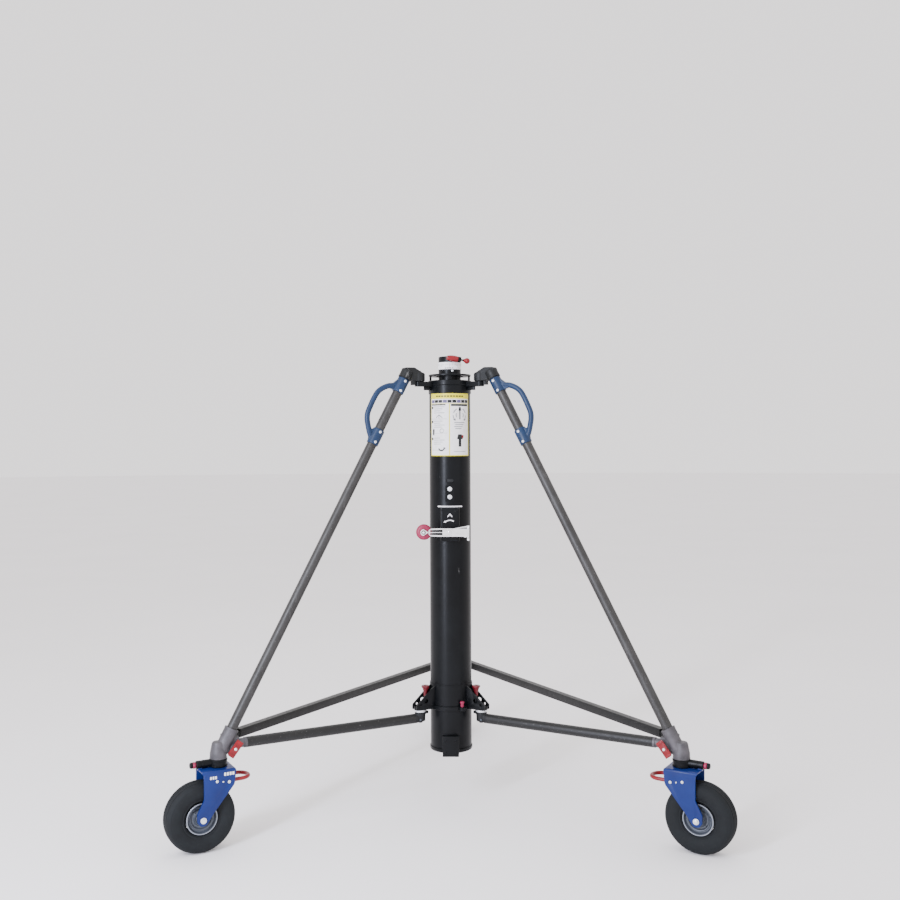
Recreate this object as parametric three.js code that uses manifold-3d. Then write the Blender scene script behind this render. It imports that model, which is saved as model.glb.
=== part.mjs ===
// Crank lighting stand: a telescopic steel mast in a fixed column, carried by three braced legs on
// pneumatic casters. Millimetres, +Z up, origin on the floor under the column's axis, crank at -Y.
import * as THREE from "three";
import Module from "manifold-3d";
import { mergeVertices } from "three/addons/utils/BufferGeometryUtils.js";

const wasm = await Module();
wasm.setup();

// ---------------------------------------------------------------- driving dimensions
const GAP = 0.3; // between pieces that touch
const ROUND = { column: 24, mast: 20, leg: 12, pin: 10, arc: 4 }; // facets round a full circle, or an arc

// column and mast
const COLUMN_R = 83.5;
const COLUMN_BORE_R = 79.5;
const COLUMN_FOOT_Z = 240;
const COLUMN_TOP_Z = 1698;
const STAGE_2 = { r: 55, bore: 48.5, foot: 262, top: 1714 };
const STAGE_3 = { r: 45.5, bore: 39.5, foot: 272, top: 1763 };
const CRANK_Z = 1112;
const COVER_FRONT = -97; // face of the cover over the winch

// collars that carry the leg frames
const HINGE_R = 142; // upright hinge axis of each leg frame, from the column's axis
const HINGE_PIN_R = 8;
const PLUNGER_R = 118; // distance of the lock plunger from the column's axis
const UPPER_ARM = { z0: 1692, z1: 1712, halfWidth: 17 };
const LOWER_BOSS = { z0: 398, z1: 412 };

// legs
const LEG_AZIMUTHS = { left: 210, right: 330, rear: 90 }; // degrees from +X
const LEG_TOP = { r: 228, z: 1683 }; // leg axis where it leaves the hinge arm
const LEG_END = { r: 916, z: 424 }; // leg axis where it enters the foot casting
const LEG_TUBE_R = 19;
const TUBE_WALL = 3;
const BRACE_R = 19;
const BRACE_Z = { inner: 364, outer: 368 };
const BRACE_SPAN = { from: 168, to: 860 };
const TIE_SIDE = 32; // square tube
const TIE_Z = 392;
const TIE_PIN = 75; // distance of a tie's pin from the caster stem, on the line between two feet

// casters
const STEM_R = 966; // caster stem, from the column's axis
const LATCH = { turn: 12, halfLength: 35, halfWidth: 14.5, y0: 31, y1: 37 };
const LATCH_AT = { left: [913, 357], right: [913, 357], rear: [918, 336] }; // the rear one clears both ties
const TRAIL = 70;
const AXLE_Z = 126;
const AXLE_R = 8;
const TYRE = { r: 126, inner: 56.4, halfWidth: 42, facets: 20 };
const FORK = { top: 296, plate: 12, inside: 49, outside: 56 };
const KINGPIN_R = 12;
const BRAKE_SHAFT_R = 5.8;
const BRAKE = { x: -24, z: 250, bendX: -74, halfWidth: 38, rodR: 6 };

const COLOURS = {
  black: [0x1a1c1d, 0.45, 0.6],
  tube: [0x6b6867, 0.5, 0.6],
  casting: [0x7d7f80, 0.6, 0.5],
  tie: [0x3d3937, 0.5, 0.6],
  blue: [0x1f4c9c, 0.45, 0.3],
  handleBlue: [0x2f5f95, 0.45, 0.3],
  red: [0xb3202e, 0.4, 0.1],
  pink: [0xb8355a, 0.4, 0.0],
  chrome: [0xd8d8d8, 0.15, 1.0],
  steel: [0x9a9a9a, 0.3, 1.0],
  white: [0xe8e6e6, 0.5, 0.0],
  tyre: [0x26292a, 0.9, 0.0],
  rim: [0x77797b, 0.4, 0.7],
  nylon: [0xd9d6cc, 0.5, 0.0],
};

// ---------------------------------------------------------------- solids and booleans
function toSolid(geometry) {
  const bare = geometry.clone();
  bare.deleteAttribute("normal");
  bare.deleteAttribute("uv");
  const merged = mergeVertices(bare, 1e-3);
  const index = merged.index.array;
  const triangles = [];
  for (let i = 0; i < index.length; i += 3) {
    const [a, b, c] = [index[i], index[i + 1], index[i + 2]];
    if (a !== b && b !== c && c !== a) triangles.push(a, b, c);
  }
  const mesh = new wasm.Mesh({
    numProp: 3,
    vertProperties: new Float32Array(merged.attributes.position.array),
    triVerts: new Uint32Array(triangles),
  });
  return new wasm.Manifold(mesh);
}

function toGeometry(solid) {
  const mesh = solid.getMesh();
  const geometry = new THREE.BufferGeometry();
  geometry.setAttribute("position", new THREE.BufferAttribute(new Float32Array(mesh.vertProperties), 3));
  geometry.setIndex(new THREE.BufferAttribute(new Uint32Array(mesh.triVerts), 1));
  geometry.computeVertexNormals();
  return geometry;
}

function join(...geometries) {
  return toGeometry(geometries.map(toSolid).reduce((sum, next) => sum.add(next)));
}

function cut(geometry, ...tools) {
  return toGeometry(tools.map(toSolid).reduce((rest, tool) => rest.subtract(tool), toSolid(geometry)));
}

function box(x0, x1, y0, y1, z0, z1) {
  const geometry = new THREE.BoxGeometry(x1 - x0, y1 - y0, z1 - z0);
  return geometry.translate((x0 + x1) / 2, (y0 + y1) / 2, (z0 + z1) / 2);
}

// A round bar between two points. The second radius is the one at point b.
function bar(a, b, radius, segments = ROUND.leg, endRadius = radius) {
  const start = new THREE.Vector3(...a);
  const along = new THREE.Vector3(...b).sub(start);
  const direction = along.clone().normalize();
  const turn = new THREE.Quaternion().setFromUnitVectors(new THREE.Vector3(0, 1, 0), direction);
  const middle = start.clone().addScaledVector(along, 0.5);
  return new THREE.CylinderGeometry(endRadius, radius, along.length(), segments)
    .applyQuaternion(turn)
    .translate(middle.x, middle.y, middle.z);
}

const upright = (radius, z0, z1, segments = ROUND.leg, x = 0, y = 0) =>
  bar([x, y, z0], [x, y, z1], radius, segments);

// A round bar along Y at a given X and Z.
const crosswise = (x, z, y0, y1, radius, segments = ROUND.pin) =>
  bar([x, y0, z], [x, y1, z], radius, segments);

// An outline of [radius, z] points turned about Z. It starts and ends on the axis, or is closed off it.
function turned(points, segments = ROUND.mast) {
  const closed = points[0][0] > 0 ? [...points, points[0]] : points;
  const outline = closed.map(([r, z]) => new THREE.Vector2(r, z));
  if (THREE.ShapeUtils.isClockWise(outline)) outline.reverse();
  return new THREE.LatheGeometry(outline, segments).rotateX(Math.PI / 2);
}

const ring = (inner, outer, z0, z1, segments = ROUND.mast) =>
  turned([[inner, z0], [outer, z0], [outer, z1], [inner, z1]], segments);

// An outline of [x, z] points given a thickness from y0 to y1.
function sidePlate(points, y0, y1, holes = []) {
  const shape = new THREE.Shape(points.map(([x, z]) => new THREE.Vector2(x, z)));
  for (const [x, z, r] of holes) shape.holes.push(new THREE.Path().absarc(x, z, r, 0, 2 * Math.PI, true));
  return new THREE.ExtrudeGeometry(shape, { depth: y1 - y0, bevelEnabled: false, curveSegments: ROUND.arc })
    .rotateX(Math.PI / 2)
    .translate(0, y1, 0);
}

// A flat plate in the XY plane from z0 to z1.
function floorPlate(shape, z0, z1) {
  return new THREE.ExtrudeGeometry(shape, { depth: z1 - z0, bevelEnabled: false, curveSegments: ROUND.arc })
    .translate(0, 0, z0);
}

// A strip of half width w from the origin's side to a round end at x1.
function roundEnded(x0, x1, w) {
  const shape = new THREE.Shape();
  shape.moveTo(x0, -w);
  shape.lineTo(x1 - w, -w);
  shape.absarc(x1 - w, 0, w, -Math.PI / 2, Math.PI / 2, false);
  shape.lineTo(x0, w);
  shape.closePath();
  return shape;
}

// A round bar bent along a list of points.
function bentBar(points, radius, steps) {
  const path = new THREE.CatmullRomCurve3(points.map((p) => new THREE.Vector3(...p)), false, "centripetal");
  const circle = new THREE.Shape().absarc(0, 0, radius, 0, 2 * Math.PI, false);
  const options = { steps, curveSegments: 3, extrudePath: path, bevelEnabled: false };
  return new THREE.ExtrudeGeometry(circle, options);
}

const turnedBy = (geometry, degrees) => geometry.clone().rotateZ(THREE.MathUtils.degToRad(degrees));

// ---------------------------------------------------------------- the scene graph
const stand = new THREE.Group();

function addNode(name, geometry, colour, parent = stand) {
  const [color, roughness, metalness] = COLOURS[colour];
  const mesh = new THREE.Mesh(geometry, new THREE.MeshStandardMaterial({ color, roughness, metalness }));
  mesh.name = name;
  parent.add(mesh);
}

// ---------------------------------------------------------------- column and what is fixed to it
const SHAFT_HOLE_R = 7.5;
const SLOT = { halfWidth: 15, z0: 1309, z1: 1321 };
const BUTTON_FLAT = { halfWidth: 18, y: -81.4, z0: 1231, z1: 1295 };
const CABLE_BLOCK = { halfWidth: 32.5, front: -102, z0: 215, z1: 297 };

// What the column takes out of the pieces that are fitted round it.
const columnSpace = (z0, z1) => upright(COLUMN_R + GAP, z0, z1, ROUND.column);

function outerColumn() {
  const tube = ring(COLUMN_BORE_R, COLUMN_R, COLUMN_FOOT_Z + GAP, COLUMN_TOP_Z, ROUND.column);
  const slot = box(-SLOT.halfWidth, SLOT.halfWidth, -90, -70, SLOT.z0, SLOT.z1);
  const { halfWidth, y, z0, z1 } = BUTTON_FLAT;
  const buttonFlat = box(-halfWidth, halfWidth, -90, y, z0, z1);
  return cut(tube, slot, buttonFlat, crosswise(0, CRANK_Z, -90, -70, SHAFT_HOLE_R));
}

function columnBottomCap() {
  const foot = COLUMN_FOOT_Z;
  const lip = turned([[0, 226], [77, 223], [86, 231], [86, foot], [0, foot]], ROUND.column);
  const plug = upright(COLUMN_BORE_R - GAP, foot - 5, 254, ROUND.column);
  const { halfWidth, front, z0, z1 } = CABLE_BLOCK;
  const block = cut(box(-halfWidth, halfWidth, front, -50, z0, z1), columnSpace(foot, 300));
  return join(lip, plug, block);
}

function mastGuideRing() {
  return ring(STAGE_2.r + 0.5, COLUMN_BORE_R - GAP, 1640, 1690, ROUND.column);
}

// Ring, flange, three hinge arms with their pins, and a guard plate on four posts.
function upperCollar() {
  const bore = STAGE_2.r + 1.5; // the middle stage rises through the flange and the guard plate
  const pieces = [
    ring(COLUMN_R + GAP, 86.5, 1665, 1698.5, ROUND.column),
    ring(bore, 88, COLUMN_TOP_Z + GAP, 1718, ROUND.column),
    ring(bore, 86, 1736, 1743, ROUND.column),
  ];
  for (const degrees of Object.values(LEG_AZIMUTHS)) {
    const arm = floorPlate(roundEnded(COLUMN_R - 3, HINGE_R + UPPER_ARM.halfWidth, UPPER_ARM.halfWidth),
      UPPER_ARM.z0, UPPER_ARM.z1);
    const pin = upright(HINGE_PIN_R, UPPER_ARM.z0 + 5, 1750, ROUND.pin, HINGE_R);
    pieces.push(turnedBy(cut(join(arm, pin), columnSpace(1600, 1702)), degrees));
  }
  for (const degrees of [0, 90, 180, 270]) {
    pieces.push(turnedBy(box(74, 83, -9, 9, 1710, 1740), degrees));
  }
  return join(...pieces);
}

// Sleeve and ring, three pairs of gussets with a hinge boss and pin, and a guide for each plunger.
const GUSSET = { outer: 167, y0: 15, y1: 21 };
const RING_PLUNGER = { x: 46, y: -90, bossR: 12 };

function lowerCollar() {
  const { z0, z1 } = LOWER_BOSS;
  const { outer, y0, y1 } = GUSSET;
  const outline = [[85, z0], [outer, z0], [outer, 415], [104, 474], [85, 490]];
  const web = (from, to) => sidePlate(outline, from, to, [[126, 432, 10]]);
  const bracketShape = join(
    floorPlate(roundEnded(COLUMN_R - 3, HINGE_R + 25, 22), z0, z1), web(-y1, -y0), web(y0, y1),
    upright(HINGE_PIN_R, 348, z1 - 4, ROUND.pin, HINGE_R), upright(9, z1 - 4, 449, ROUND.pin, PLUNGER_R));
  const bracket = cut(bracketShape, columnSpace(380, 520), upright(4.6, 390, 460, ROUND.pin, PLUNGER_R));
  const boss = cut(upright(RING_PLUNGER.bossR, 397, 411, ROUND.pin, RING_PLUNGER.x, RING_PLUNGER.y),
    columnSpace(380, 520));
  const whole = join(
    ring(COLUMN_R + GAP, 87, 395, 497, ROUND.column), ring(COLUMN_R + GAP, 93, 395, 411, ROUND.column),
    ...Object.values(LEG_AZIMUTHS).map((degrees) => turnedBy(bracket, degrees)), boss);
  return cut(whole, upright(5.4, 380, 440, ROUND.pin, RING_PLUNGER.x, RING_PLUNGER.y));
}

// Small pull plunger on the front of the lower ring.
function ringPlunger() {
  const outline = [[0, 398], [4, 398], [4, 412], [6.5, 413], [6.5, 424], [9, 430], [6, 434], [0, 434]];
  return turned(outline, ROUND.pin).translate(RING_PLUNGER.x, RING_PLUNGER.y, 0);
}

function winchHousing() {
  const halfWidth = 38.5;
  const corner = 6;
  const shape = new THREE.Shape();
  shape.moveTo(-halfWidth, -50);
  shape.lineTo(-halfWidth, COVER_FRONT + corner);
  shape.absarc(corner - halfWidth, COVER_FRONT + corner, corner, Math.PI, 1.5 * Math.PI, false);
  shape.lineTo(halfWidth - corner, COVER_FRONT);
  shape.absarc(halfWidth - corner, COVER_FRONT + corner, corner, 1.5 * Math.PI, 2 * Math.PI, false);
  shape.lineTo(halfWidth, -50);
  shape.closePath();
  return cut(floorPlate(shape, 1073, 1206), columnSpace(1060, 1220),
    crosswise(0, CRANK_Z, -110, -70, SHAFT_HOLE_R));
}

for (const [name, geometry, colour] of [
  ["outer_column", outerColumn(), "black"],
  ["column_bottom_cap", columnBottomCap(), "black"],
  ["mast_guide_ring", mastGuideRing(), "nylon"],
  ["upper_collar", upperCollar(), "black"],
  ["lower_collar", lowerCollar(), "black"],
  ["ring_plunger", ringPlunger(), "pink"],
  ["winch_housing", winchHousing(), "black"],
]) {
  addNode(name, geometry, colour);
}

// ---------------------------------------------------------------- winch crank
const KNOB = { x: -103, back: -101, front: -129 }; // the grip turns on a pin behind the arm's looped end
const ARM = { front: -142, back: -132 };
const END_BAR_X = 73;

const atCrank = (points) => points.map(([x, z]) => [x, z + CRANK_Z]);

function winchSpool() {
  const spool = crosswise(0, CRANK_Z, -70, -59, 30, ROUND.leg);
  const shaft = crosswise(0, CRANK_Z, -132, -62, 6.5);
  return join(spool, shaft);
}

// Forged arm: a long loop at the knob's end, a hub on the shaft and a tommy bar at the far end.
function crankArm() {
  const outline = [[-112, -9], [-104, -13], [-40, -17], [END_BAR_X, -17], [END_BAR_X, 17], [8, 17],
    [-40, 17], [-104, 13], [-112, 9]];
  const arm = sidePlate(atCrank(outline), ARM.front, ARM.back);
  const upperSlot = [[-90, 2], [-36, 2.5], [-36, 10], [-90, 7.5]];
  const lowerSlot = [[-90, -7.5], [-36, -10], [-36, -2.5], [-90, -2]];
  const slots = [upperSlot, lowerSlot].map(
    (points) => sidePlate(atCrank(points), ARM.front - 5, ARM.back + 5));
  const middle = (ARM.front + ARM.back) / 2;
  const hub = crosswise(0, CRANK_Z, ARM.front - 2, -120, 15, ROUND.leg);
  const endBar = bar([END_BAR_X, middle, CRANK_Z - 33], [END_BAR_X, middle, CRANK_Z + 27], 5, ROUND.pin);
  const wing = sidePlate(atCrank([[12, 16], [68, 25], [68, 16]]), middle - 2, middle + 2);
  const pin = crosswise(KNOB.x, CRANK_Z, ARM.front - 3, KNOB.back - 0.5, 5);
  return cut(join(arm, hub, endBar, wing, pin), ...slots, crosswise(0, CRANK_Z, ARM.back - 0.5, -110, 6.9));
}

function crankKnob() {
  const outline = [[5.5, 0], [26, 0], [31, 5], [31, 20], [26, 26], [12, 28], [5.5, 28]];
  return turned(outline, ROUND.leg).rotateX(Math.PI / 2).translate(KNOB.x, KNOB.back, CRANK_Z);
}

addNode("winch_spool", winchSpool(), "steel");
addNode("crank_arm", crankArm(), "chrome");
addNode("crank_knob", crankKnob(), "pink");

// ---------------------------------------------------------------- mast stages and receiver
const CLAMP = { azimuth: 290, z: 1804, tilt: 8, at: 60, hub: [-33, 25], ball: 54 };
const RECEIVER = { top: 1816, bandTop: 1792, socketR: 14.4, socketFloor: 1722 };

function stageTube({ r, bore, foot, top }) {
  return ring(bore, r, foot, top, ROUND.mast);
}

function receiverHead() {
  const outline = [[0, 1705], [STAGE_3.bore - GAP, 1705], [STAGE_3.bore - GAP, 1792.3], [45.5, 1792.3],
    [45.5, RECEIVER.top - 3], [42.5, RECEIVER.top], [0, RECEIVER.top]];
  const plug = turned(outline, ROUND.mast);
  const socket = upright(RECEIVER.socketR, RECEIVER.socketFloor, RECEIVER.top + 5, ROUND.leg);
  const screwHole = turnedBy(bar([10, 0, CLAMP.z], [50, 0, CLAMP.z], 6, ROUND.pin), CLAMP.azimuth);
  return cut(plug, socket, screwHole);
}

// The clamp's own frame has X along the screw, and Y along the crosswise hub and bar, which tip downwards.
const onClamp = (geometry) => turnedBy(
  geometry.rotateX(-THREE.MathUtils.degToRad(CLAMP.tilt)).translate(0, 0, CLAMP.z), CLAMP.azimuth);

function clampScrew() {
  const { at, hub } = CLAMP;
  const barrel = join(bar([at, hub[0], 0], [at, -12, 0], 9, ROUND.pin, 12.5),
    bar([at, -12.2, 0], [at, hub[1], 0], 12.5, ROUND.pin, 10));
  const screw = bar([15.5, 0, 0], [at - 5, 0, 0], 5, ROUND.pin);
  const barHole = bar([at, 0, 0], [at, hub[1] + 5, 0], 3.9, ROUND.pin);
  return onClamp(cut(join(barrel, screw), barHole));
}

// Plain bar with a ball at its end, set in the end of the clamp screw's hub.
function clampBar() {
  const { at, ball } = CLAMP;
  const rod = bar([at, 0.5, 0], [at, ball - 4, 0], 3.5, ROUND.pin);
  return onClamp(join(rod, new THREE.SphereGeometry(12, ROUND.pin, 8).translate(at, ball, 0)));
}

addNode("mast_stage_2", stageTube(STAGE_2), "steel");
addNode("mast_stage_3", stageTube(STAGE_3), "black");
addNode("receiver_head", receiverHead(), "black");
addNode("receiver_band", ring(STAGE_3.bore, 47, STAGE_3.top + GAP, RECEIVER.bandTop, ROUND.mast), "white");
addNode("clamp_screw", clampScrew(), "red");
addNode("clamp_bar", clampBar(), "red");

// ---------------------------------------------------------------- leg frames, in each leg's own plane
// Local X runs outwards, so local Y is crosswise. Points on the leg are given by the distance s down
// the leg's axis from LEG_TOP, and the offset n from that axis, outwards and up.
const LEG_LENGTH = Math.hypot(LEG_END.r - LEG_TOP.r, LEG_END.z - LEG_TOP.z);
const DOWN = { x: (LEG_END.r - LEG_TOP.r) / LEG_LENGTH, z: (LEG_END.z - LEG_TOP.z) / LEG_LENGTH };
const onLeg = (s, n = 0, y = 0) => [
  LEG_TOP.r + DOWN.x * s - DOWN.z * n,
  y,
  LEG_TOP.z + DOWN.z * s + DOWN.x * n,
];
const ARM_SOCKET = { from: -80, to: -44, holeTo: -72 };
const FOOT_SOCKET = { from: -2, to: 79, holeTo: 55 };

// A closed outline of points on the leg, as a plate of half thickness w.
const plateOnLeg = (points, w) => {
  const outline = points.map(([s, n]) => onLeg(s, n)).map(([x, , z]) => [x, z]);
  return sidePlate(outline, -w, w);
};

// Boss on the hinge pin, a neck with a stop below it, and a socket for the top of the leg.
function hingeArm() {
  const boss = upright(23, UPPER_ARM.z1 + 0.5, 1742, ROUND.leg, HINGE_R);
  const outline = [[122, 1713], [178, 1713], [194, 1724], [206, 1764], [168, 1768], [122, 1741]];
  const neck = sidePlate(outline, -18, 18);
  const stop = box(161, 175, -12, 12, 1698, 1715);
  const socket = bar(onLeg(ARM_SOCKET.from), onLeg(ARM_SOCKET.to), 25.5, ROUND.leg);
  const legHole = bar(onLeg(ARM_SOCKET.holeTo), onLeg(10), LEG_TUBE_R + GAP, ROUND.leg);
  const pinHole = upright(HINGE_PIN_R + 0.5, 1700, 1780, ROUND.pin, HINGE_R);
  const armSpace = upright(UPPER_ARM.halfWidth + 1, 1690, UPPER_ARM.z1 + 0.5, ROUND.leg, HINGE_R);
  return cut(join(boss, neck, stop, socket), legHole, pinHole, armSpace);
}

function tubeBetween(a, b, outer) {
  const beyond = (from, to) => to.map((v, i) => v + (v - from[i]) * 0.01);
  return cut(bar(a, b, outer, ROUND.leg), bar(beyond(b, a), beyond(a, b), outer - TUBE_WALL, ROUND.leg));
}

const legTube = () => tubeBetween(
  onLeg(ARM_SOCKET.holeTo + 1), onLeg(LEG_LENGTH + FOOT_SOCKET.holeTo - 1), LEG_TUBE_R);

// Two sleeves bolted round the leg, joined by a bowed grip on the outer side.
const HANDLE = { upper: [-42, 20], lower: [188, 253], sleeveR: 24, gripR: 11 };
const GRIP_PATH = [
  [-10, 16], [2, 30], [16, 47], [39, 66], [63, 76], [92, 78],
  [124, 77], [154, 74], [177, 64], [199, 47], [218, 30], [232, 16],
];

function carryHandle() {
  const sleeve = ([from, to]) => bar(onLeg(from), onLeg(to), HANDLE.sleeveR, ROUND.leg);
  const grip = bentBar(GRIP_PATH.map(([s, n]) => onLeg(s, n)), HANDLE.gripR, 14);
  const upperWeb = plateOnLeg([[-40, 18], [0, 36], [24, 42], [19, 18]], 9);
  const lowerWeb = plateOnLeg([[190, 18], [206, 30], [244, 22], [250, 16]], 9);
  const bore = bar(onLeg(-60), onLeg(280), LEG_TUBE_R + GAP, ROUND.leg);
  return cut(join(sleeve(HANDLE.upper), sleeve(HANDLE.lower), grip, upperWeb, lowerWeb), bore);
}

const toFoot = (side) => ({
  x: STEM_R - TIE_PIN * Math.cos(Math.PI / 6),
  y: side * TIE_PIN * Math.sin(Math.PI / 6),
});

// Caster stem, leg socket and brace spigot in one casting, with a fork for each tie.
const STEM = { r: 30, z0: 324, shoulder: 345, topR: 23, top: 380 };
const TIE_EAR_R = 15;
const TIE_EARS = [[TIE_Z - 16, TIE_Z - 8.5], [TIE_Z + 8.5, TIE_Z + 16]];

function footCasting(tieSides, nearSide, latchAt) {
  const pieces = [
    upright(STEM.r, STEM.z0, STEM.shoulder, ROUND.leg, STEM_R),
    bar([STEM_R, 0, STEM.shoulder - 1], [STEM_R, 0, STEM.top], STEM.r, ROUND.leg, STEM.topR),
    bar(onLeg(LEG_LENGTH + FOOT_SOCKET.from), onLeg(LEG_LENGTH + FOOT_SOCKET.to), 26, ROUND.leg),
    sidePlate([[898, 350], [975, 326], [975, 374], [935, 396], [890, 396]], -17, 17),
    bar([BRACE_SPAN.to + 0.5, 0, BRACE_Z.outer], [915, 0, BRACE_Z.outer], 17, ROUND.leg),
    bar([835, 0, BRACE_Z.outer - 0.2], [865, 0, BRACE_Z.outer], BRACE_R - TUBE_WALL - 1.2, ROUND.leg),
    crosswise(...latchAt, 0, nearSide * (LATCH.y0 - 0.5), 11),
  ];
  for (const side of tieSides) {
    const pin = toFoot(side);
    const reach = Math.hypot(STEM_R - 20 - pin.x, pin.y);
    const angle = Math.atan2(-pin.y, STEM_R - 20 - pin.x);
    for (const [z0, z1] of TIE_EARS) {
      const ear = floorPlate(roundEnded(-reach, TIE_EAR_R, TIE_EAR_R), z0, z1);
      pieces.push(ear.rotateZ(angle + Math.PI).translate(pin.x, pin.y, 0));
    }
  }
  const holeEnd = onLeg(LEG_LENGTH + FOOT_SOCKET.holeTo);
  const legHole = bar(onLeg(LEG_LENGTH - 20), holeEnd, LEG_TUBE_R + GAP, ROUND.leg);
  const kingpinBore = upright(KINGPIN_R + 0.6, 320, 350, ROUND.leg, STEM_R);
  return cut(join(...pieces), legHole, kingpinBore, box(800, 1050, -60, 60, 260, STEM.z0));
}

// Swivel bearing housing with the swivel lock's barrel.
function swivelLock() {
  const housing = upright(33, FORK.top + 0.6, STEM.z0 - 0.4, ROUND.leg, STEM_R);
  const barrel = bar([STEM_R + 20, 0, 311], [STEM_R + 88, 0, 311], 12.8, ROUND.leg);
  return cut(join(housing, barrel), upright(KINGPIN_R + 0.6, 290, 330, ROUND.leg, STEM_R));
}

function lowerBrace() {
  return tubeBetween([BRACE_SPAN.from, 0, BRACE_Z.inner], [BRACE_SPAN.to, 0, BRACE_Z.outer], BRACE_R);
}

// Tapered barrel on the hinge pin, a spigot for the brace and an ear for the plunger.
function braceKnuckle() {
  const barrel = bar([HINGE_R, 0, 351], [HINGE_R, 0, 391], 21, ROUND.leg, 24);
  const axisAt = (r) => [r, 0, BRACE_Z.inner];
  const spigot = bar(axisAt(HINGE_R + 12), axisAt(BRACE_SPAN.from - 0.5), BRACE_R, ROUND.leg);
  const plug = bar(axisAt(HINGE_R + 12), axisAt(BRACE_SPAN.from + 28), BRACE_R - TUBE_WALL - 1.2, ROUND.leg);
  const ear = floorPlate(roundEnded(0, 36, 13), 380, 391).rotateZ(Math.PI).translate(HINGE_R, 0, 0);
  const pinBore = upright(HINGE_PIN_R + 0.5, 330, 400, ROUND.pin, HINGE_R);
  return cut(join(barrel, spigot, plug, ear), pinBore, upright(5, 370, 400, ROUND.pin, PLUNGER_R));
}

// Flared knob on the lock plunger, which stands just clear of the knuckle's ear.
function pullKnob() {
  const outline = [
    [0, 391.8], [4, 391.8], [4, 449.5], [7, 449.5], [8, 462],
    [10, 476], [16.5, 488], [15, 491], [0, 491],
  ];
  return turned(outline, ROUND.pin).translate(PLUNGER_R, 0, 0);
}

// Pressed plate on the side of the foot casting, tipped from the leg's direction.
function footLatch(nearSide, [r, z]) {
  const { turn, halfLength, halfWidth, y0, y1 } = LATCH;
  const tip = Math.atan2(DOWN.z, DOWN.x) + THREE.MathUtils.degToRad(turn);
  const corner = (u, w) => [
    r + u * Math.cos(tip) - w * Math.sin(tip),
    z + u * Math.sin(tip) + w * Math.cos(tip),
  ];
  const plate = [corner(-halfLength, -halfWidth), corner(halfLength, -halfWidth),
    corner(halfLength, halfWidth - 5), corner(halfLength - 5, halfWidth), corner(-halfLength, halfWidth)];
  return nearSide > 0 ? sidePlate(plate, y0, y1) : sidePlate(plate, -y1, -y0);
}

// ---------------------------------------------------------------- caster, with X along the trail
function casterFork() {
  const cheek = [
    [-56, FORK.top], [72, FORK.top], [67, 282], [65, 196], [84, 156], [92, 130],
    [88, 112], [74, 106], [56, 114], [30, 148], [-46, 242],
  ];
  const topPlate = box(-56, 72, -FORK.outside, FORK.outside, FORK.top - FORK.plate, FORK.top);
  const kingpin = upright(KINGPIN_R, FORK.top - 4, 346, ROUND.leg);
  const cheeks = [[-FORK.outside, -FORK.inside], [FORK.inside, FORK.outside]].map(
    ([y0, y1]) => sidePlate(cheek, y0, y1));
  const axleHole = crosswise(TRAIL, AXLE_Z, -80, 80, AXLE_R + GAP);
  const shaftHole = crosswise(BRAKE.x, BRAKE.z, -80, 80, BRAKE_SHAFT_R + 0.6);
  return cut(join(topPlate, kingpin, ...cheeks), axleHole, shaftHole);
}

// Toe loop on a shaft between the cheeks, with a shoe that is pressed on the tread.
function brakeLoop() {
  const { x, z, bendX, halfWidth, rodR } = BRAKE;
  const points = [[x, -halfWidth, z], [bendX + 6, -halfWidth, z]];
  for (let k = 0; k <= 8; k++) {
    const a = (k / 8) * Math.PI;
    points.push([bendX - halfWidth * Math.sin(a), -halfWidth * Math.cos(a), z]);
  }
  points.push([bendX + 6, halfWidth, z], [x, halfWidth, z]);
  const shaft = crosswise(x, z, -54, 54, BRAKE_SHAFT_R);
  const shoe = box(x - 4, x + 16, -14, 14, z - 12, z - 2);
  return join(bentBar(points, rodR, 14), shaft, shoe);
}

function wheelAxle() {
  const head = (y0, y1) => crosswise(TRAIL, AXLE_Z, y0, y1, 11, 6);
  return join(crosswise(TRAIL, AXLE_Z, -60, 60, AXLE_R), head(-64.5, -56.4), head(56.4, 64.5));
}

// Half an outline of [radius, y] points and its mirror image across y = 0.
const bothSides = (half) => [...half, ...half.map(([radius, y]) => [radius, -y]).reverse()];

function wheelRim() {
  const half = [[8.8, -47], [18, -47], [18, -12], [45, -12], [50, -34], [56, -34]];
  return turned(bothSides(half), ROUND.leg).rotateX(Math.PI / 2).translate(TRAIL, 0, AXLE_Z);
}

function wheelTyre() {
  const { r, inner, halfWidth: w } = TYRE;
  const flat = Math.PI / TYRE.facets; // one tread facet lies flat on the floor
  const half = [[inner / Math.cos(flat), -32], [84, -w], [104, -w], [118, -33], [r / Math.cos(flat), -16]];
  const wheel = turned(bothSides(half), TYRE.facets).rotateX(Math.PI / 2).rotateY(flat);
  return wheel.translate(TRAIL, 0, AXLE_Z);
}

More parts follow.
